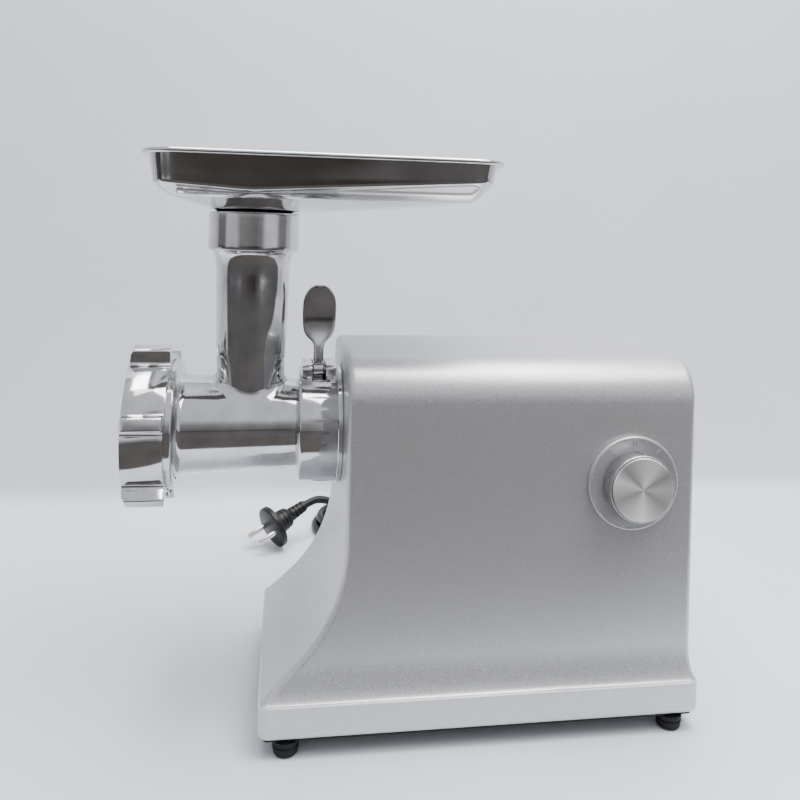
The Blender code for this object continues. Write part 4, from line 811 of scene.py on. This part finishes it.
def lobe_outline(steps):
    """The ring nut's outline: a circle with lobes that have a fillet at the foot and rounded corners."""
    radius = RING_RADIUS
    half = LOBE_WIDTH / 2
    foot = LOBE_FOOT
    corner = LOBE_CORNER
    reach = LOBE_REACH
    side = asin((half + 0.003) / radius)
    span = tau / LOBE_COUNT - 2 * side
    points = []
    for i in range(LOBE_COUNT):
        turn = Matrix.Rotation(LOBE_FIRST + tau * i / LOBE_COUNT, 2)
        local = []
        for k in range(5):
            angle = pi / 2 * k / 4
            x = radius + foot - foot * cos(angle) - 0.0008
            local.append((x, -half - foot + foot * sin(angle)))
        for k in range(5):
            angle = -pi / 2 + pi / 2 * k / 4
            x = reach - corner + corner * cos(angle)
            local.append((x, -half + corner + corner * sin(angle)))
        local += [(x, -y) for x, y in reversed(local)]
        points += [turn @ Vector(p) for p in local]
        for k in range(steps + 1):
            angle = side + span * k / steps
            points.append(turn @ (radius * Vector((cos(angle), sin(angle)))))
    return [(p.x, p.y) for p in points]


def make_ring():
    ring = prism("ring_nut_skin", lobe_outline(10), RING_FRONT, RING_REAR, HEAD)
    front = RING_FRONT + 0.0045
    shave = [(RING_FRONT - OVERRUN, 0.0415), (RING_FRONT - OVERRUN, 0.06), (front, 0.06), (front, 0.0533)]
    shave += [(front - 0.0018, 0.0525), (front - 0.0034, 0.05), (RING_FRONT, 0.0415)]
    cut(ring, turned("shave", shave, HEAD, sides=96, hollow=True))
    lip = RING_FRONT + RING_LIP
    inside = [(RING_FRONT - OVERRUN, RING_MOUTH), (lip, RING_MOUTH), (lip, RING_THREAD)]
    inside += [(RING_REAR + OVERRUN, RING_THREAD)]
    cut(ring, turned("inside", inside, HEAD, sides=96))
    soften(ring, 0.0007, 3, 32)
    show(ring, "ring", "polished_metal", "ring_nut")


def make_cutting_plate():
    near = low("cutting_plate").x
    far = high("cutting_plate").x
    radius = half_size("cutting_plate").y
    notch = PLATE_NOTCH
    kept = [p for p in circle(radius, 96) if not (abs(p[0]) < notch + 0.001 and p[1] < 0)]
    start = next(i for i, p in enumerate(kept) if p[0] > 0 > p[1] and kept[i - 1][0] < 0)
    edge = -sqrt(radius**2 - notch**2)
    slot = [(-notch, edge), (-notch, -radius + 0.0042), (notch, -radius + 0.0042), (notch, edge)]
    plate = prism("plate_skin", kept[:start] + slot + kept[start:], near, far, HEAD)
    start, end = near - OVERRUN, far + OVERRUN
    centre = turned("centre", [(start, PLATE_CENTRE), (end, PLATE_CENTRE)], HEAD, sides=32)
    for row, reach in PLATE_ROWS:
        for y, z in circle(reach, row, 0.1):
            place = HEAD + Vector((0, y, z))
            join(centre, turned("hole", [(start, PLATE_HOLE), (end, PLATE_HOLE)], place, sides=20))
    cut(plate, centre)
    soften(plate, 0.00025, 2, 40)
    show(plate, "head", "tool_steel", "cutting_plate")


def join(obj, other):
    """Adds another object's mesh to this one's, unchanged."""
    build = bmesh.new()
    build.from_mesh(obj.data)
    build.from_mesh(other.data)
    build.to_mesh(obj.data)
    build.free()
    bpy.data.objects.remove(other, do_unlink=True)


AUGER_TURNS = 3.2
AUGER_STEPS = 220
AUGER_FLIGHT = 0.004
TANG_HALF = 0.0055


def make_auger():
    """A tapered core with one flight that thins out towards the plate, and a square tang behind."""
    rear = HEAD_REAR - 0.0073
    shoulder = high("knife").x + 0.0003
    front = low("auger").x
    body = [(front, 0.0039), (front + 0.0004, 0.0045), (shoulder - 0.0052, 0.0045)]
    body += [(shoulder - 0.0051, 0.005), (shoulder, 0.005), (shoulder, 0.0102)]
    body += [(shoulder + 0.0006, 0.0109), (-0.03, 0.0105)]
    body += [(0.0, 0.0102), (rear, 0.01), (rear, 0.008), (HEAD_REAR + 0.0006, 0.008)]
    auger = turned("auger_skin", body, HEAD, sides=64)
    outer = half_size("auger").z
    start = shoulder + 0.0035
    length = rear - 0.0035 - AUGER_FLIGHT - start
    rings = []
    for i in range(AUGER_STEPS + 1):
        share = i / AUGER_STEPS
        angle = share * AUGER_TURNS * tau
        x = start + share * length
        wide = AUGER_FLIGHT * (1.25 - 0.25 * share)
        ring = [(x - wide / 2, 0.0075), (x + wide, 0.0075), (x + wide * 0.8, outer - 0.001)]
        ring += [(x + wide * 0.68, outer), (x + wide * 0.08, outer), (x - 0.0002, outer - 0.001)]
        rings.append([HEAD + Vector((along, r * cos(angle), r * sin(angle))) for along, r in ring])
    unite(auger, loft("flight", rings))
    square = [(TANG_HALF * x, TANG_HALF * y) for x, y in ((1, 1), (-1, 1), (-1, -1), (1, -1))]
    unite(auger, prism("tang", square, HEAD_REAR - 0.002, high("auger").x, HEAD))
    show(auger, "auger", "auger_casting", "auger")


# Sleeve and lever

LEVER_PIN = Vector(JOINTS["lever_swing"]["pos_m"]) - ORIGIN
LEVER_HALF = 0.0034
SLEEVE_BORE = 0.0281
COLLAR_BORE = 0.0343
BOSS_HALF = 0.0165
BOSS_ROUND = 0.003
SLOT_FLOOR = 0.0042
SLOT_SIDE = 0.0011


def make_sleeve():
    """The socket for the head, with a boss on top whose slot holds the lever."""
    back = BODY_FRONT - SEAM
    step = back - 0.003
    radius = half_size("mating_sleeve").y
    bore = SLEEVE_BORE
    inner = high("mating_sleeve").x
    profile = [(SLEEVE_FRONT + 0.0008, bore), (SLEEVE_FRONT, bore + 0.001), (SLEEVE_FRONT, radius - 0.0024)]
    profile += arc((SLEEVE_FRONT + 0.002, radius - 0.002), 0.002, 170, 95, 6)
    profile += [(SLEEVE_FRONT + 0.0024, radius), (SLEEVE_FRONT + 0.0042, radius - 0.0004)]
    profile += [(step - SEAM, radius), (step - SEAM, 0.034), (back, 0.034), (back, 0.03), (inner, 0.03)]
    profile += [(inner, 0.015), (HEAD_REAR + SEAM, 0.015), (HEAD_REAR + SEAM, bore)]
    sleeve = turned("sleeve_skin", profile, HEAD, sides=128, hollow=True)
    top = high("mating_sleeve").z - AXIS_Z
    half = BOSS_HALF
    outline = [(-half, 0.03), (half, 0.03), (half, top - BOSS_ROUND)]
    outline += arc((half - BOSS_ROUND, top - BOSS_ROUND), BOSS_ROUND, 15, 90, 5)
    outline += [(-x, y) for x, y in reversed(outline[3:])] + [(-half, top - BOSS_ROUND)]
    boss = prism("boss", outline, SLEEVE_FRONT + 0.0018, step - 0.001, HEAD)
    unite(sleeve, boss)
    side = LEVER_HALF + SLOT_SIDE
    floor = LEVER_PIN.z - AXIS_Z - SLOT_FLOOR
    slot = [(-0.007, floor), (-0.007, 0.02), (0.007, 0.02), (0.007, 0.05)]
    slot += [(-0.04, 0.05), (-0.04, floor)]
    cut(sleeve, prism("slot", slot, LEVER_PIN.x - side, LEVER_PIN.x + side, HEAD))
    drill(sleeve, low("lever_pin").x - SEAM, high("lever_pin").x + SEAM, 0.0019, (0, 0, LEVER_PIN.z), 24)
    soften(sleeve, 0.0005, 3, 32)
    show(sleeve, "housing", "polished_metal", "mating_sleeve")
    outer = half_size("sleeve_collar").y
    profile = [(step, COLLAR_BORE), (step, outer - 0.0004), (step + 0.0004, outer), (back - 0.0002, outer)]
    profile += [(back, outer - 0.0002), (back, COLLAR_BORE)]
    collar = turned("collar_skin", profile, HEAD, sides=128, hollow=True)
    show(collar, "housing", "polished_metal", "sleeve_collar")


def make_lever():
    """The thumb lever: a round cam, a narrow stem and a spoon-shaped paddle.

    Each section is its height above the pin, half width, how far it leans and half thickness."""
    reach = high("lock_lever").z - LEVER_PIN.z
    sections = ((0.0, 0.0034, 0.0, 0.0026), (0.006, 0.0034, 0.0, 0.0026), (0.009, 0.0033, 0.0, 0.0024))
    sections += ((0.0118, 0.0033, 0.0001, 0.0021), (0.0145, 0.0034, 0.0002, 0.002))
    sections += ((0.017, 0.0039, 0.0005, 0.0019), (0.0187, 0.0055, 0.0008, 0.0018))
    sections += ((0.0208, 0.0079, 0.0011, 0.0017), (0.0242, 0.0098, 0.0016, 0.0016))
    sections += ((0.028, 0.0106, 0.002, 0.0016), (0.033, 0.0109, 0.0021, 0.0016))
    sections += ((0.039, 0.0109, 0.0019, 0.0016),)
    sections += ((0.0435, 0.0107, 0.0014, 0.0016), (reach - 0.008, 0.0099, 0.0008, 0.0016))
    sections += ((reach - 0.005, 0.0086, 0.0002, 0.0015), (reach - 0.0028, 0.007, -0.0002, 0.0014))
    sections += ((reach - 0.0012, 0.005, -0.0005, 0.0012), (reach - 0.0003, 0.0026, -0.0007, 0.0008))
    rings = []
    for z, half, lean, thick in sections:
        ring = []
        for x, y in circle(1, 40):
            x = copysign(abs(x) ** 0.85, x)
            y = copysign(abs(y) ** 0.85, y)
            hollow = 0.0007 * (1 - x * x) * min(1, max(0, (z - 0.014) / 0.01))
            ring.append(LEVER_PIN + Vector((half * x, lean + thick * y + hollow, z)))
        rings.append(ring)
    lever = loft("lever_skin", rings, sharp=60)
    cam = [(-LEVER_HALF, 0.0052), (-0.003, 0.0058), (0.003, 0.0058), (LEVER_HALF, 0.0052)]
    unite(lever, turned("cam", cam, LEVER_PIN, sides=48))
    drill(lever, -0.02, 0.02, 0.002, LEVER_PIN, 32)
    show(lever, "lever", "polished_metal", "lock_lever")


# Tray

TRAY_LOW = low("hopper_tray")
TRAY_HIGH = high("hopper_tray")
TRAY_CORNER = 0.0215
TRAY_LIP = 0.003
TRAY_SHEET = 0.001
TRAY_FLOOR = TRAY_LOW.z + 0.013
TRAY_CREASE = 0.315
TRAY_BAND = 0.011
TRAY_BORE = 0.0222
TRAY_SLOPE = 0.062
TRAY_WALL_START = 0.3
# The rolled rim, as how far in and how far down each of its rings is
TRAY_ROLL = ((0.0026, 0.003), (0.0012, 0.0032), (0.0003, 0.0026), (0.0, 0.0018), (0.0003, 0.0009))
TRAY_ROLL += ((0.001, 0.0003), (0.0018, 0.0), (0.0026, 0.0001), (0.004, 0.001))


def tray_outline(inset):
    """The tray's outline, with points along its straight sides too, so that the floor can bend."""
    lowest = (TRAY_LOW.x + inset, TRAY_LOW.y + inset)
    highest = (TRAY_HIGH.x - inset, TRAY_HIGH.y - inset)
    steps = 12
    corners = rounded_outline(lowest, highest, max(TRAY_CORNER - inset, 0.004), steps)
    each = steps + 1
    points = []
    for quarter in range(4):
        run = corners[quarter * each : quarter * each + each]
        points += run
        x, y = run[-1]
        next_x, next_y = corners[(quarter * each + each) % (4 * each)]
        extra = 19 if quarter % 2 == 0 else 11
        for i in range(1, extra + 1):
            share = i / (extra + 1)
            points.append((x + (next_x - x) * share, y + (next_y - y) * share))
    return points


def tray_side(radius, sheet):
    """Rings of the tray's outside, or of its inside with a sheet thickness, from the spout to the rim."""
    centre = Vector((NECK_X, 0, 0))

    def outline(inset):
        return [Vector((x, y, 0)) for x, y in tray_outline(inset)]

    def lift(p, base, slope):
        return base + slope * abs(p.x - NECK_X) + sheet

    def between(a, b, share, z):
        p = a.lerp(b, share)
        return Vector((p.x, p.y, z))

    wall = outline(0.0042 + sheet)
    crease = outline(0.007 + sheet)
    band = outline(TRAY_LIP + 0.004 + TRAY_BAND)
    spout = [centre + (p - centre).normalized() * radius for p in band]
    rings = [[Vector((p.x, p.y, TRAY_LOW.z)) for p in spout]]
    turn = 0.0022 if sheet else 0.0012
    for inset, rest in edge_curve(turn, 4):
        level = Vector((0, 0, TRAY_FLOOR + sheet - rest))
        rings.append([p + (b - centre).normalized() * inset + level for p, b in zip(spout, band)])
    inner = rings[-1]
    for share in (0.06, 0.14, 0.24, 0.36, 0.5, 0.64, 0.78, 0.9, 1.0):
        ring = []
        for a, b in zip(inner, band):
            rise = lift(b, TRAY_CREASE - 0.0048, 0.02) - sheet - TRAY_FLOOR
            ring.append(between(a, b, share, TRAY_FLOOR + sheet + rise * share**1.15))
        rings.append(ring)
    edge = rings[-1]
    for i in range(1, 7):
        share = i / 7
        sag = 0.0011 * sin(pi * share)
        ring = []
        for a, b in zip(edge, crease):
            rise = lift(b, TRAY_CREASE, TRAY_SLOPE) - a.z
            ring.append(between(a, b, share, a.z + rise * share - sag))
        rings.append(ring)
    for i in range(5):
        angle = pi / 2 * i / 4
        share = TRAY_WALL_START * sin(angle)
        start = TRAY_CREASE + 0.0022 * (1 - cos(angle))
        rings.append([between(a, b, share, lift(a, start, TRAY_SLOPE)) for a, b in zip(crease, wall)])
    base = [a.lerp(b, TRAY_WALL_START) for a, b in zip(crease, wall)]
    top = TRAY_HIGH.z - 0.0026
    for share in (0.25, 0.5, 0.75, 1.0):
        ring = []
        for a, b in zip(base, wall):
            start = lift(a, TRAY_CREASE + 0.0022, TRAY_SLOPE)
            ring.append(between(a, b, share, start + (top - start) * share))
        rings.append(ring)
    return rings


def make_tray():
    outside = tray_side(SPOUT_RADIUS, 0.0)
    inside = tray_side(TRAY_BORE, TRAY_SHEET)
    lip = []
    for inset, drop in TRAY_ROLL:
        lip.append([Vector((x, y, TRAY_HIGH.z - drop)) for x, y in tray_outline(inset)])
    rings = outside + lip + list(reversed(inside))
    tray = loft("tray_skin", rings, closed=True, sharp=48)
    show(tray, "tray", "stainless", "hopper_tray")


# Cord and plug

CORD_RADIUS = 0.0035
CORD_REST = 0.0001
GLAND_RIBS = 6
PLUG_RADIUS = 0.01925
PLUG_RIBS = 4
PLUG_PIN_SIDE = 0.0095
COIL = middle("cord_coil")
CORD_START = Vector((high("cord_gland").x + 0.0006, GLAND.y, GLAND.z))
PLUG_CENTRE = Vector((0.0041, 0.2143, 0.0193))
PLUG_TAIL = Vector((0.0334, 0.2325, 0.0323))
LEAD_RUN = 0.006
LEAD_ROUTE = (
    (0.3039, 0.0478, 0.0532),
    (0.3145, 0.0553, 0.0457),
    (0.3184, 0.0655, 0.035),
    (0.3175, 0.08, 0.021),
    (0.313, 0.096, 0.0095),
    (0.303, 0.112, 0.0042),
    (0.289, 0.1255, 0.0036),
    (0.27, 0.137, 0.0036),
    (0.245, 0.148, 0.0036),
    (0.215, 0.1595, 0.0036),
    (0.18, 0.173, 0.0036),
    (0.14, 0.1885, 0.0036),
    (0.1, 0.2043, 0.0036),
)

# The coil, in turns from where the lead enters it at the outside
COIL_ENTRY = radians(247)
COIL_STEP = radians(24)
COIL_RADIUS = 0.0468
COIL_PITCH = 2 * CORD_RADIUS + 0.0002
LAYER_RISE = 0.0062
FIRST_LAYER = 2.0
CHANGE_OVER = 0.35
OUTWARD_FROM = 2.9
OUTWARD_OVER = 0.5
CLIMB_FROM = 3.6
COIL_END = 4.0
CLIMB_RISE = 0.022
# The hump in which the cord comes down to the plug
HUMP = ((0.0672, 0.2294, 0.0322), (0.0564, 0.235, 0.0346), (0.0446, 0.2364, 0.0356))


def smooth(points, count):
    """Evenly spaced points on the smooth curve through the given ones."""
    knots = [points[0] * 2 - points[1]] + list(points) + [points[-1] * 2 - points[-2]]
    fine = []
    for k in range(1, len(knots) - 2):
        a, b, c, d = knots[k - 1 : k + 3]
        for i in range(24):
            t = i / 24
            bend = (2 * a - 5 * b + 4 * c - d) * t**2 + (3 * b - a - 3 * c + d) * t**3
            fine.append(0.5 * (2 * b + (c - a) * t + bend))
    fine.append(points[-1])
    lengths = [0.0]
    for p, q in zip(fine, fine[1:]):
        lengths.append(lengths[-1] + (q - p).length)
    made = []
    k = 0
    for i in range(count):
        want = lengths[-1] * i / (count - 1)
        while k < len(fine) - 2 and lengths[k + 1] < want:
            k += 1
        made.append(fine[k].lerp(fine[k + 1], (want - lengths[k]) / (lengths[k + 1] - lengths[k])))
    return made


def eased(value):
    return 0.5 - 0.5 * cos(pi * min(max(value, 0.0), 1.0))


def coil_point(spun):
    """Where the lead is after so many turns: two turns inward, one and a half on top, then up over them."""
    height = CORD_RADIUS + CORD_REST + LAYER_RISE * eased((spun - FIRST_LAYER) / CHANGE_OVER)
    height += CLIMB_RISE * eased((spun - CLIMB_FROM) / (COIL_END - CLIMB_FROM) * 0.8)
    radius = COIL_RADIUS - COIL_PITCH * min(spun, FIRST_LAYER)
    radius += 0.5 * COIL_PITCH * min(max(spun - FIRST_LAYER, 0.0) / CHANGE_OVER, 1.0)
    radius += COIL_PITCH * eased((spun - OUTWARD_FROM) / OUTWARD_OVER)
    radius -= COIL_PITCH * eased((spun - CLIMB_FROM) / (COIL_END - CLIMB_FROM))
    angle = COIL_ENTRY - spun * tau
    return Vector((COIL.x + radius * cos(angle), COIL.y + radius * sin(angle), height))


def cord_route():
    """Out of the gland, down, round behind the housing, through the coil and over it to the plug."""
    points = [CORD_START, CORD_START + Vector((LEAD_RUN, 0, 0))]
    points += [Vector(p) for p in LEAD_ROUTE]
    turns = round(COIL_END * tau / COIL_STEP)
    points += [coil_point(i * COIL_STEP / tau) for i in range(turns + 1)]
    tail = (PLUG_TAIL - PLUG_CENTRE).normalized()
    return points + [Vector(p) for p in HUMP] + [PLUG_TAIL, PLUG_TAIL - tail * 0.004]


def make_cord():
    route = [p + ORIGIN for p in cord_route()]
    curve = bpy.data.curves.new("mains_cord", "CURVE")
    curve.dimensions = "3D"
    curve.bevel_depth = CORD_RADIUS
    curve.bevel_resolution = 6
    curve.use_fill_caps = True
    spline = curve.splines.new("POLY")
    fine = smooth(route, 560)
    spline.points.add(len(fine) - 1)
    for target, p in zip(spline.points, fine):
        target.co = (*p, 1.0)
    cord = add("mains_cord", curve)
    show(cord, "housing", "cord_black", "cord_lead", "cord_coil", "cord_tail")
    return cord


def make_gland():
    """A tapered strain relief: a collar against the back, then ribs."""
    start = GLAND.x + SEAM
    end = high("cord_gland").x
    ribs = start + 0.0034
    pitch = (end - ribs) / GLAND_RIBS
    profile = [(start, 0.004), (start, 0.0074), (start + 0.0004, 0.0078), (start + 0.0026, 0.0078)]
    profile += [(start + 0.003, 0.0074), (ribs, 0.0064)]
    for i in range(GLAND_RIBS):
        thick = 0.0063 - 0.0019 * i / GLAND_RIBS
        for share, drop in ((0, 0), (0.62, 0.0002), (0.7, 0.001), (0.94, 0.0011)):
            profile.append((ribs + pitch * (i + share), thick - drop))
    profile += [(end, 0.0044), (end, 0.004)]
    gland = turned("strain_relief", profile, (0, GLAND.y, GLAND.z), "X", 40, hollow=True)
    show(gland, "housing", "cord_black", "cord_gland")
    return gland


def make_plug():
    """A round two-pin plug with a grip of ridges and a tapered tail."""
    line = PLUG_TAIL - PLUG_CENTRE
    place = Matrix.Translation(PLUG_CENTRE) @ line.to_track_quat("X", "Z").to_matrix().to_4x4()
    end = line.length - 0.0004
    radius = PLUG_RADIUS
    profile = [(-0.0025, radius - 0.0012), (-0.0022, radius - 0.0005), (-0.0015, radius), (0.002, radius)]
    profile += [(0.0027, radius - 0.0005), (0.003, radius - 0.0012), (0.0033, 0.0135), (0.0044, 0.0112)]
    profile += [(0.0075, 0.0101), (0.009, 0.0101), (0.0094, 0.0094), (0.0106, 0.0094), (0.011, 0.0099)]
    profile += [(0.0124, 0.0097), (0.0128, 0.009), (0.014, 0.009), (0.0144, 0.0094), (0.0165, 0.0088)]
    profile += [(0.0186, 0.0066), (0.0192, 0.0059)]
    ribs = 0.02
    for i in range(PLUG_RIBS):
        thick = 0.0062 - 0.0012 * i / PLUG_RIBS
        for share, drop in ((0, 0), (0.14, 0), (0.17, 0.0009), (0.235, 0.001)):
            profile.append((ribs + (end - ribs) * (i / PLUG_RIBS + share), thick - drop))
    profile += [(end, 0.0045)]
    body = turned("plug_skin", profile, sides=64)
    body.data.transform(place)
    show(body, "housing", "cord_black", "plug_body")
    pieces = [body]
    for name, side in (("a", -1), ("b", 1)):
        pin_profile = [(-0.0215, 0.0012), (-0.0211, 0.0019), (-0.0203, 0.0024), (-0.0024, 0.0024)]
        pin = turned(f"plug_prong_{name}", pin_profile, sides=32)
        pin.data.transform(place @ Matrix.Translation((0, side * PLUG_PIN_SIDE, 0)))
        show(pin, "housing", "pin_metal", f"plug_pin_{name}")
        pieces.append(pin)
    return pieces


# Room

WALL_Y = 0.335
WALL_TOP = 2.2
COVE = 0.022
SHEET_FRONT = -0.17
SHEET_DROP = 0.0002
FLOOR_DROP = 0.001
FLOOR_HALF = 2.6
FLOOR_FRONT = -1.7
FLOOR_BACK = 2.2


def sheet_look():
    """Pale paper that can't be seen from behind, so that the wall hides nothing from the far side."""
    look = Look("paper", roughness=0.55)
    look.colour(look.noise(7, 3.0), ((0.3, (0.7, 0.72, 0.77)), (0.7, (0.735, 0.755, 0.8))))
    clear = look.node("BsdfTransparent")
    mix = look.node("MixShader")
    look.link(look.node("NewGeometry").outputs["Backfacing"], mix.inputs["Fac"])
    look.link(look.shader.outputs["BSDF"], mix.inputs[1])
    look.link(clear.outputs["BSDF"], mix.inputs[2])
    look.link(mix.outputs["Shader"], look.tree.nodes["Material Output"].inputs["Surface"])
    return look.made


def dark_floor_look():
    look = Look("dark_floor", roughness=0.6)
    look.colour(look.noise(6, 3.0), ((0.3, (0.03, 0.025, 0.022)), (0.7, (0.05, 0.043, 0.038))))
    return look.made


def stage_mesh(name, points, faces, look):
    mesh = bpy.data.meshes.new(name)
    mesh.from_pydata(points, [], faces)
    mesh.shade_smooth()
    mesh.materials.append(look)
    add(name, mesh)


def make_backdrop():
    """A pale sheet under the object that curves up behind it, pale floor beyond, and dark floor in front."""
    flat_end = WALL_Y - COVE
    rows = [(SHEET_FRONT, -SHEET_DROP), (flat_end, -SHEET_DROP)]
    for i in range(1, 13):
        angle = pi / 2 * i / 12
        rows.append((flat_end + COVE * sin(angle), COVE - SHEET_DROP - COVE * cos(angle)))
    rows.append((WALL_Y, WALL_TOP))
    points = [(x, y, z) for y, z in rows for x in (-FLOOR_HALF, FLOOR_HALF)]
    faces = [(2 * i, 2 * i + 1, 2 * i + 3, 2 * i + 2) for i in range(len(rows) - 1)]
    paper = sheet_look()
    stage_mesh("backdrop", points, faces, paper)
    for name, front, back, look in (
        ("room_floor", FLOOR_FRONT, 0.0, dark_floor_look()),
        ("floor_behind", flat_end, FLOOR_BACK, paper),
    ):
        corners = [(-FLOOR_HALF, front), (FLOOR_HALF, front), (FLOOR_HALF, back), (-FLOOR_HALF, back)]
        stage_mesh(name, [(x, y, -FLOOR_DROP) for x, y in corners], [(0, 1, 2, 3)], look)


ROOM_BRIGHT = (0.86, 0.88, 0.92)
ROOM_DARK = (0.045, 0.036, 0.03)
# How dark the room is at a height (0 straight down, 1 straight up) and at an angle round from the
# back (0) past the left (0.25), the front (0.5) and the right (0.75)
WORLD_BAND = ((0.0, 1.0), (0.455, 1.0), (0.47, 0.85), (0.58, 0.65), (0.68, 0.0))
WORLD_WALLS = ((0.0, 0.0), (0.15, 0.1), (0.19, 0.95), (0.29, 1.0), (0.31, 0.25), (0.38, 0.35), (0.41, 0.9))
WORLD_WALLS += ((0.52, 1.0), (0.56, 0.85), (0.59, 0.05), (0.66, 0.0), (0.69, 0.9), (0.74, 0.95), (0.78, 0.1))
WORLD_LIGHT = 1.0


def make_world():
    """A bright room that is dark below and, on three sides, dark up to above eye level."""
    world = bpy.data.worlds.new("studio")
    bpy.context.scene.world = world
    world.use_nodes = True
    nodes = Nodes(world.node_tree)
    node, link = nodes.node, nodes.link
    apart = node("SeparateXYZ")
    link(node("TexCoord").outputs["Generated"], apart.inputs["Vector"])
    rise = node("MapRange")
    rise.inputs["From Min"].default_value = -1
    link(apart.outputs["Z"], rise.inputs["Value"])
    round_about = node("Math", operation="ARCTAN2")
    link(apart.outputs["X"], round_about.inputs[0])
    back = node("Math", operation="MULTIPLY")
    back.inputs[1].default_value = -1
    link(apart.outputs["Y"], back.inputs[0])
    link(back.outputs["Value"], round_about.inputs[1])
    around = node("MapRange")
    around.inputs["From Min"].default_value = -pi
    around.inputs["From Max"].default_value = pi
    link(round_about.outputs["Value"], around.inputs["Value"])
    band = nodes.ramp(rise.outputs["Result"], WORLD_BAND)
    walls = nodes.ramp(around.outputs["Result"], WORLD_WALLS)
    dark = node("Math", operation="MULTIPLY")
    link(band, dark.inputs[0])
    link(walls, dark.inputs[1])
    mix = node("MixRGB")
    mix.inputs["Color1"].default_value = (*ROOM_BRIGHT, 1.0)
    mix.inputs["Color2"].default_value = (*ROOM_DARK, 1.0)
    link(dark.outputs["Value"], mix.inputs["Fac"])
    light = nodes.tree.nodes["Background"]
    link(mix.outputs["Color"], light.inputs["Color"])
    light.inputs["Strength"].default_value = WORLD_LIGHT


def make_room():
    make_backdrop()
    make_world()
    lamp("key", (0.62, -0.42, 1.4), (0.1, 0.0, 0.15), 0.8, 17)
    lamp("top", (0.15, 0.16, 1.35), (0.12, 0.0, 0.2), 1.0, 26)
    lamp("back", (0.15, 0.15, 1.6), (0.1, 0.45, 0.5), 1.2, 16)


def lamp(name, place, aim, size, power):
    data = bpy.data.lights.new(name, "AREA")
    data.size = size
    data.energy = power
    made = add(name, data)
    spot = Vector(place) + ORIGIN
    made.location = spot
    made.rotation_euler = (spot - Vector(aim) - ORIGIN).to_track_quat("Z", "Y").to_euler()


def paint_cad_nodes():
    """Gives every CAD node that is kept the finish of its slot."""
    slots = {part["node"]: part["material_slot"] for part in frame["record"]["subparts"]}
    for name, obj in frame["nodes"].items():
        obj.data.materials.clear()
        obj.data.materials.append(LOOKS.get(slots[name]) or LOOKS["polished_metal"])


make_camera()
paint_cad_nodes()
cord = make_cord()
gland = make_gland()
plug = make_plug()
make_housing()
make_plinth()
make_feet()
make_dial()
make_knob()
make_head()
make_ring()
make_cutting_plate()
make_auger()
make_sleeve()
make_lever()
make_tray()
make_room()
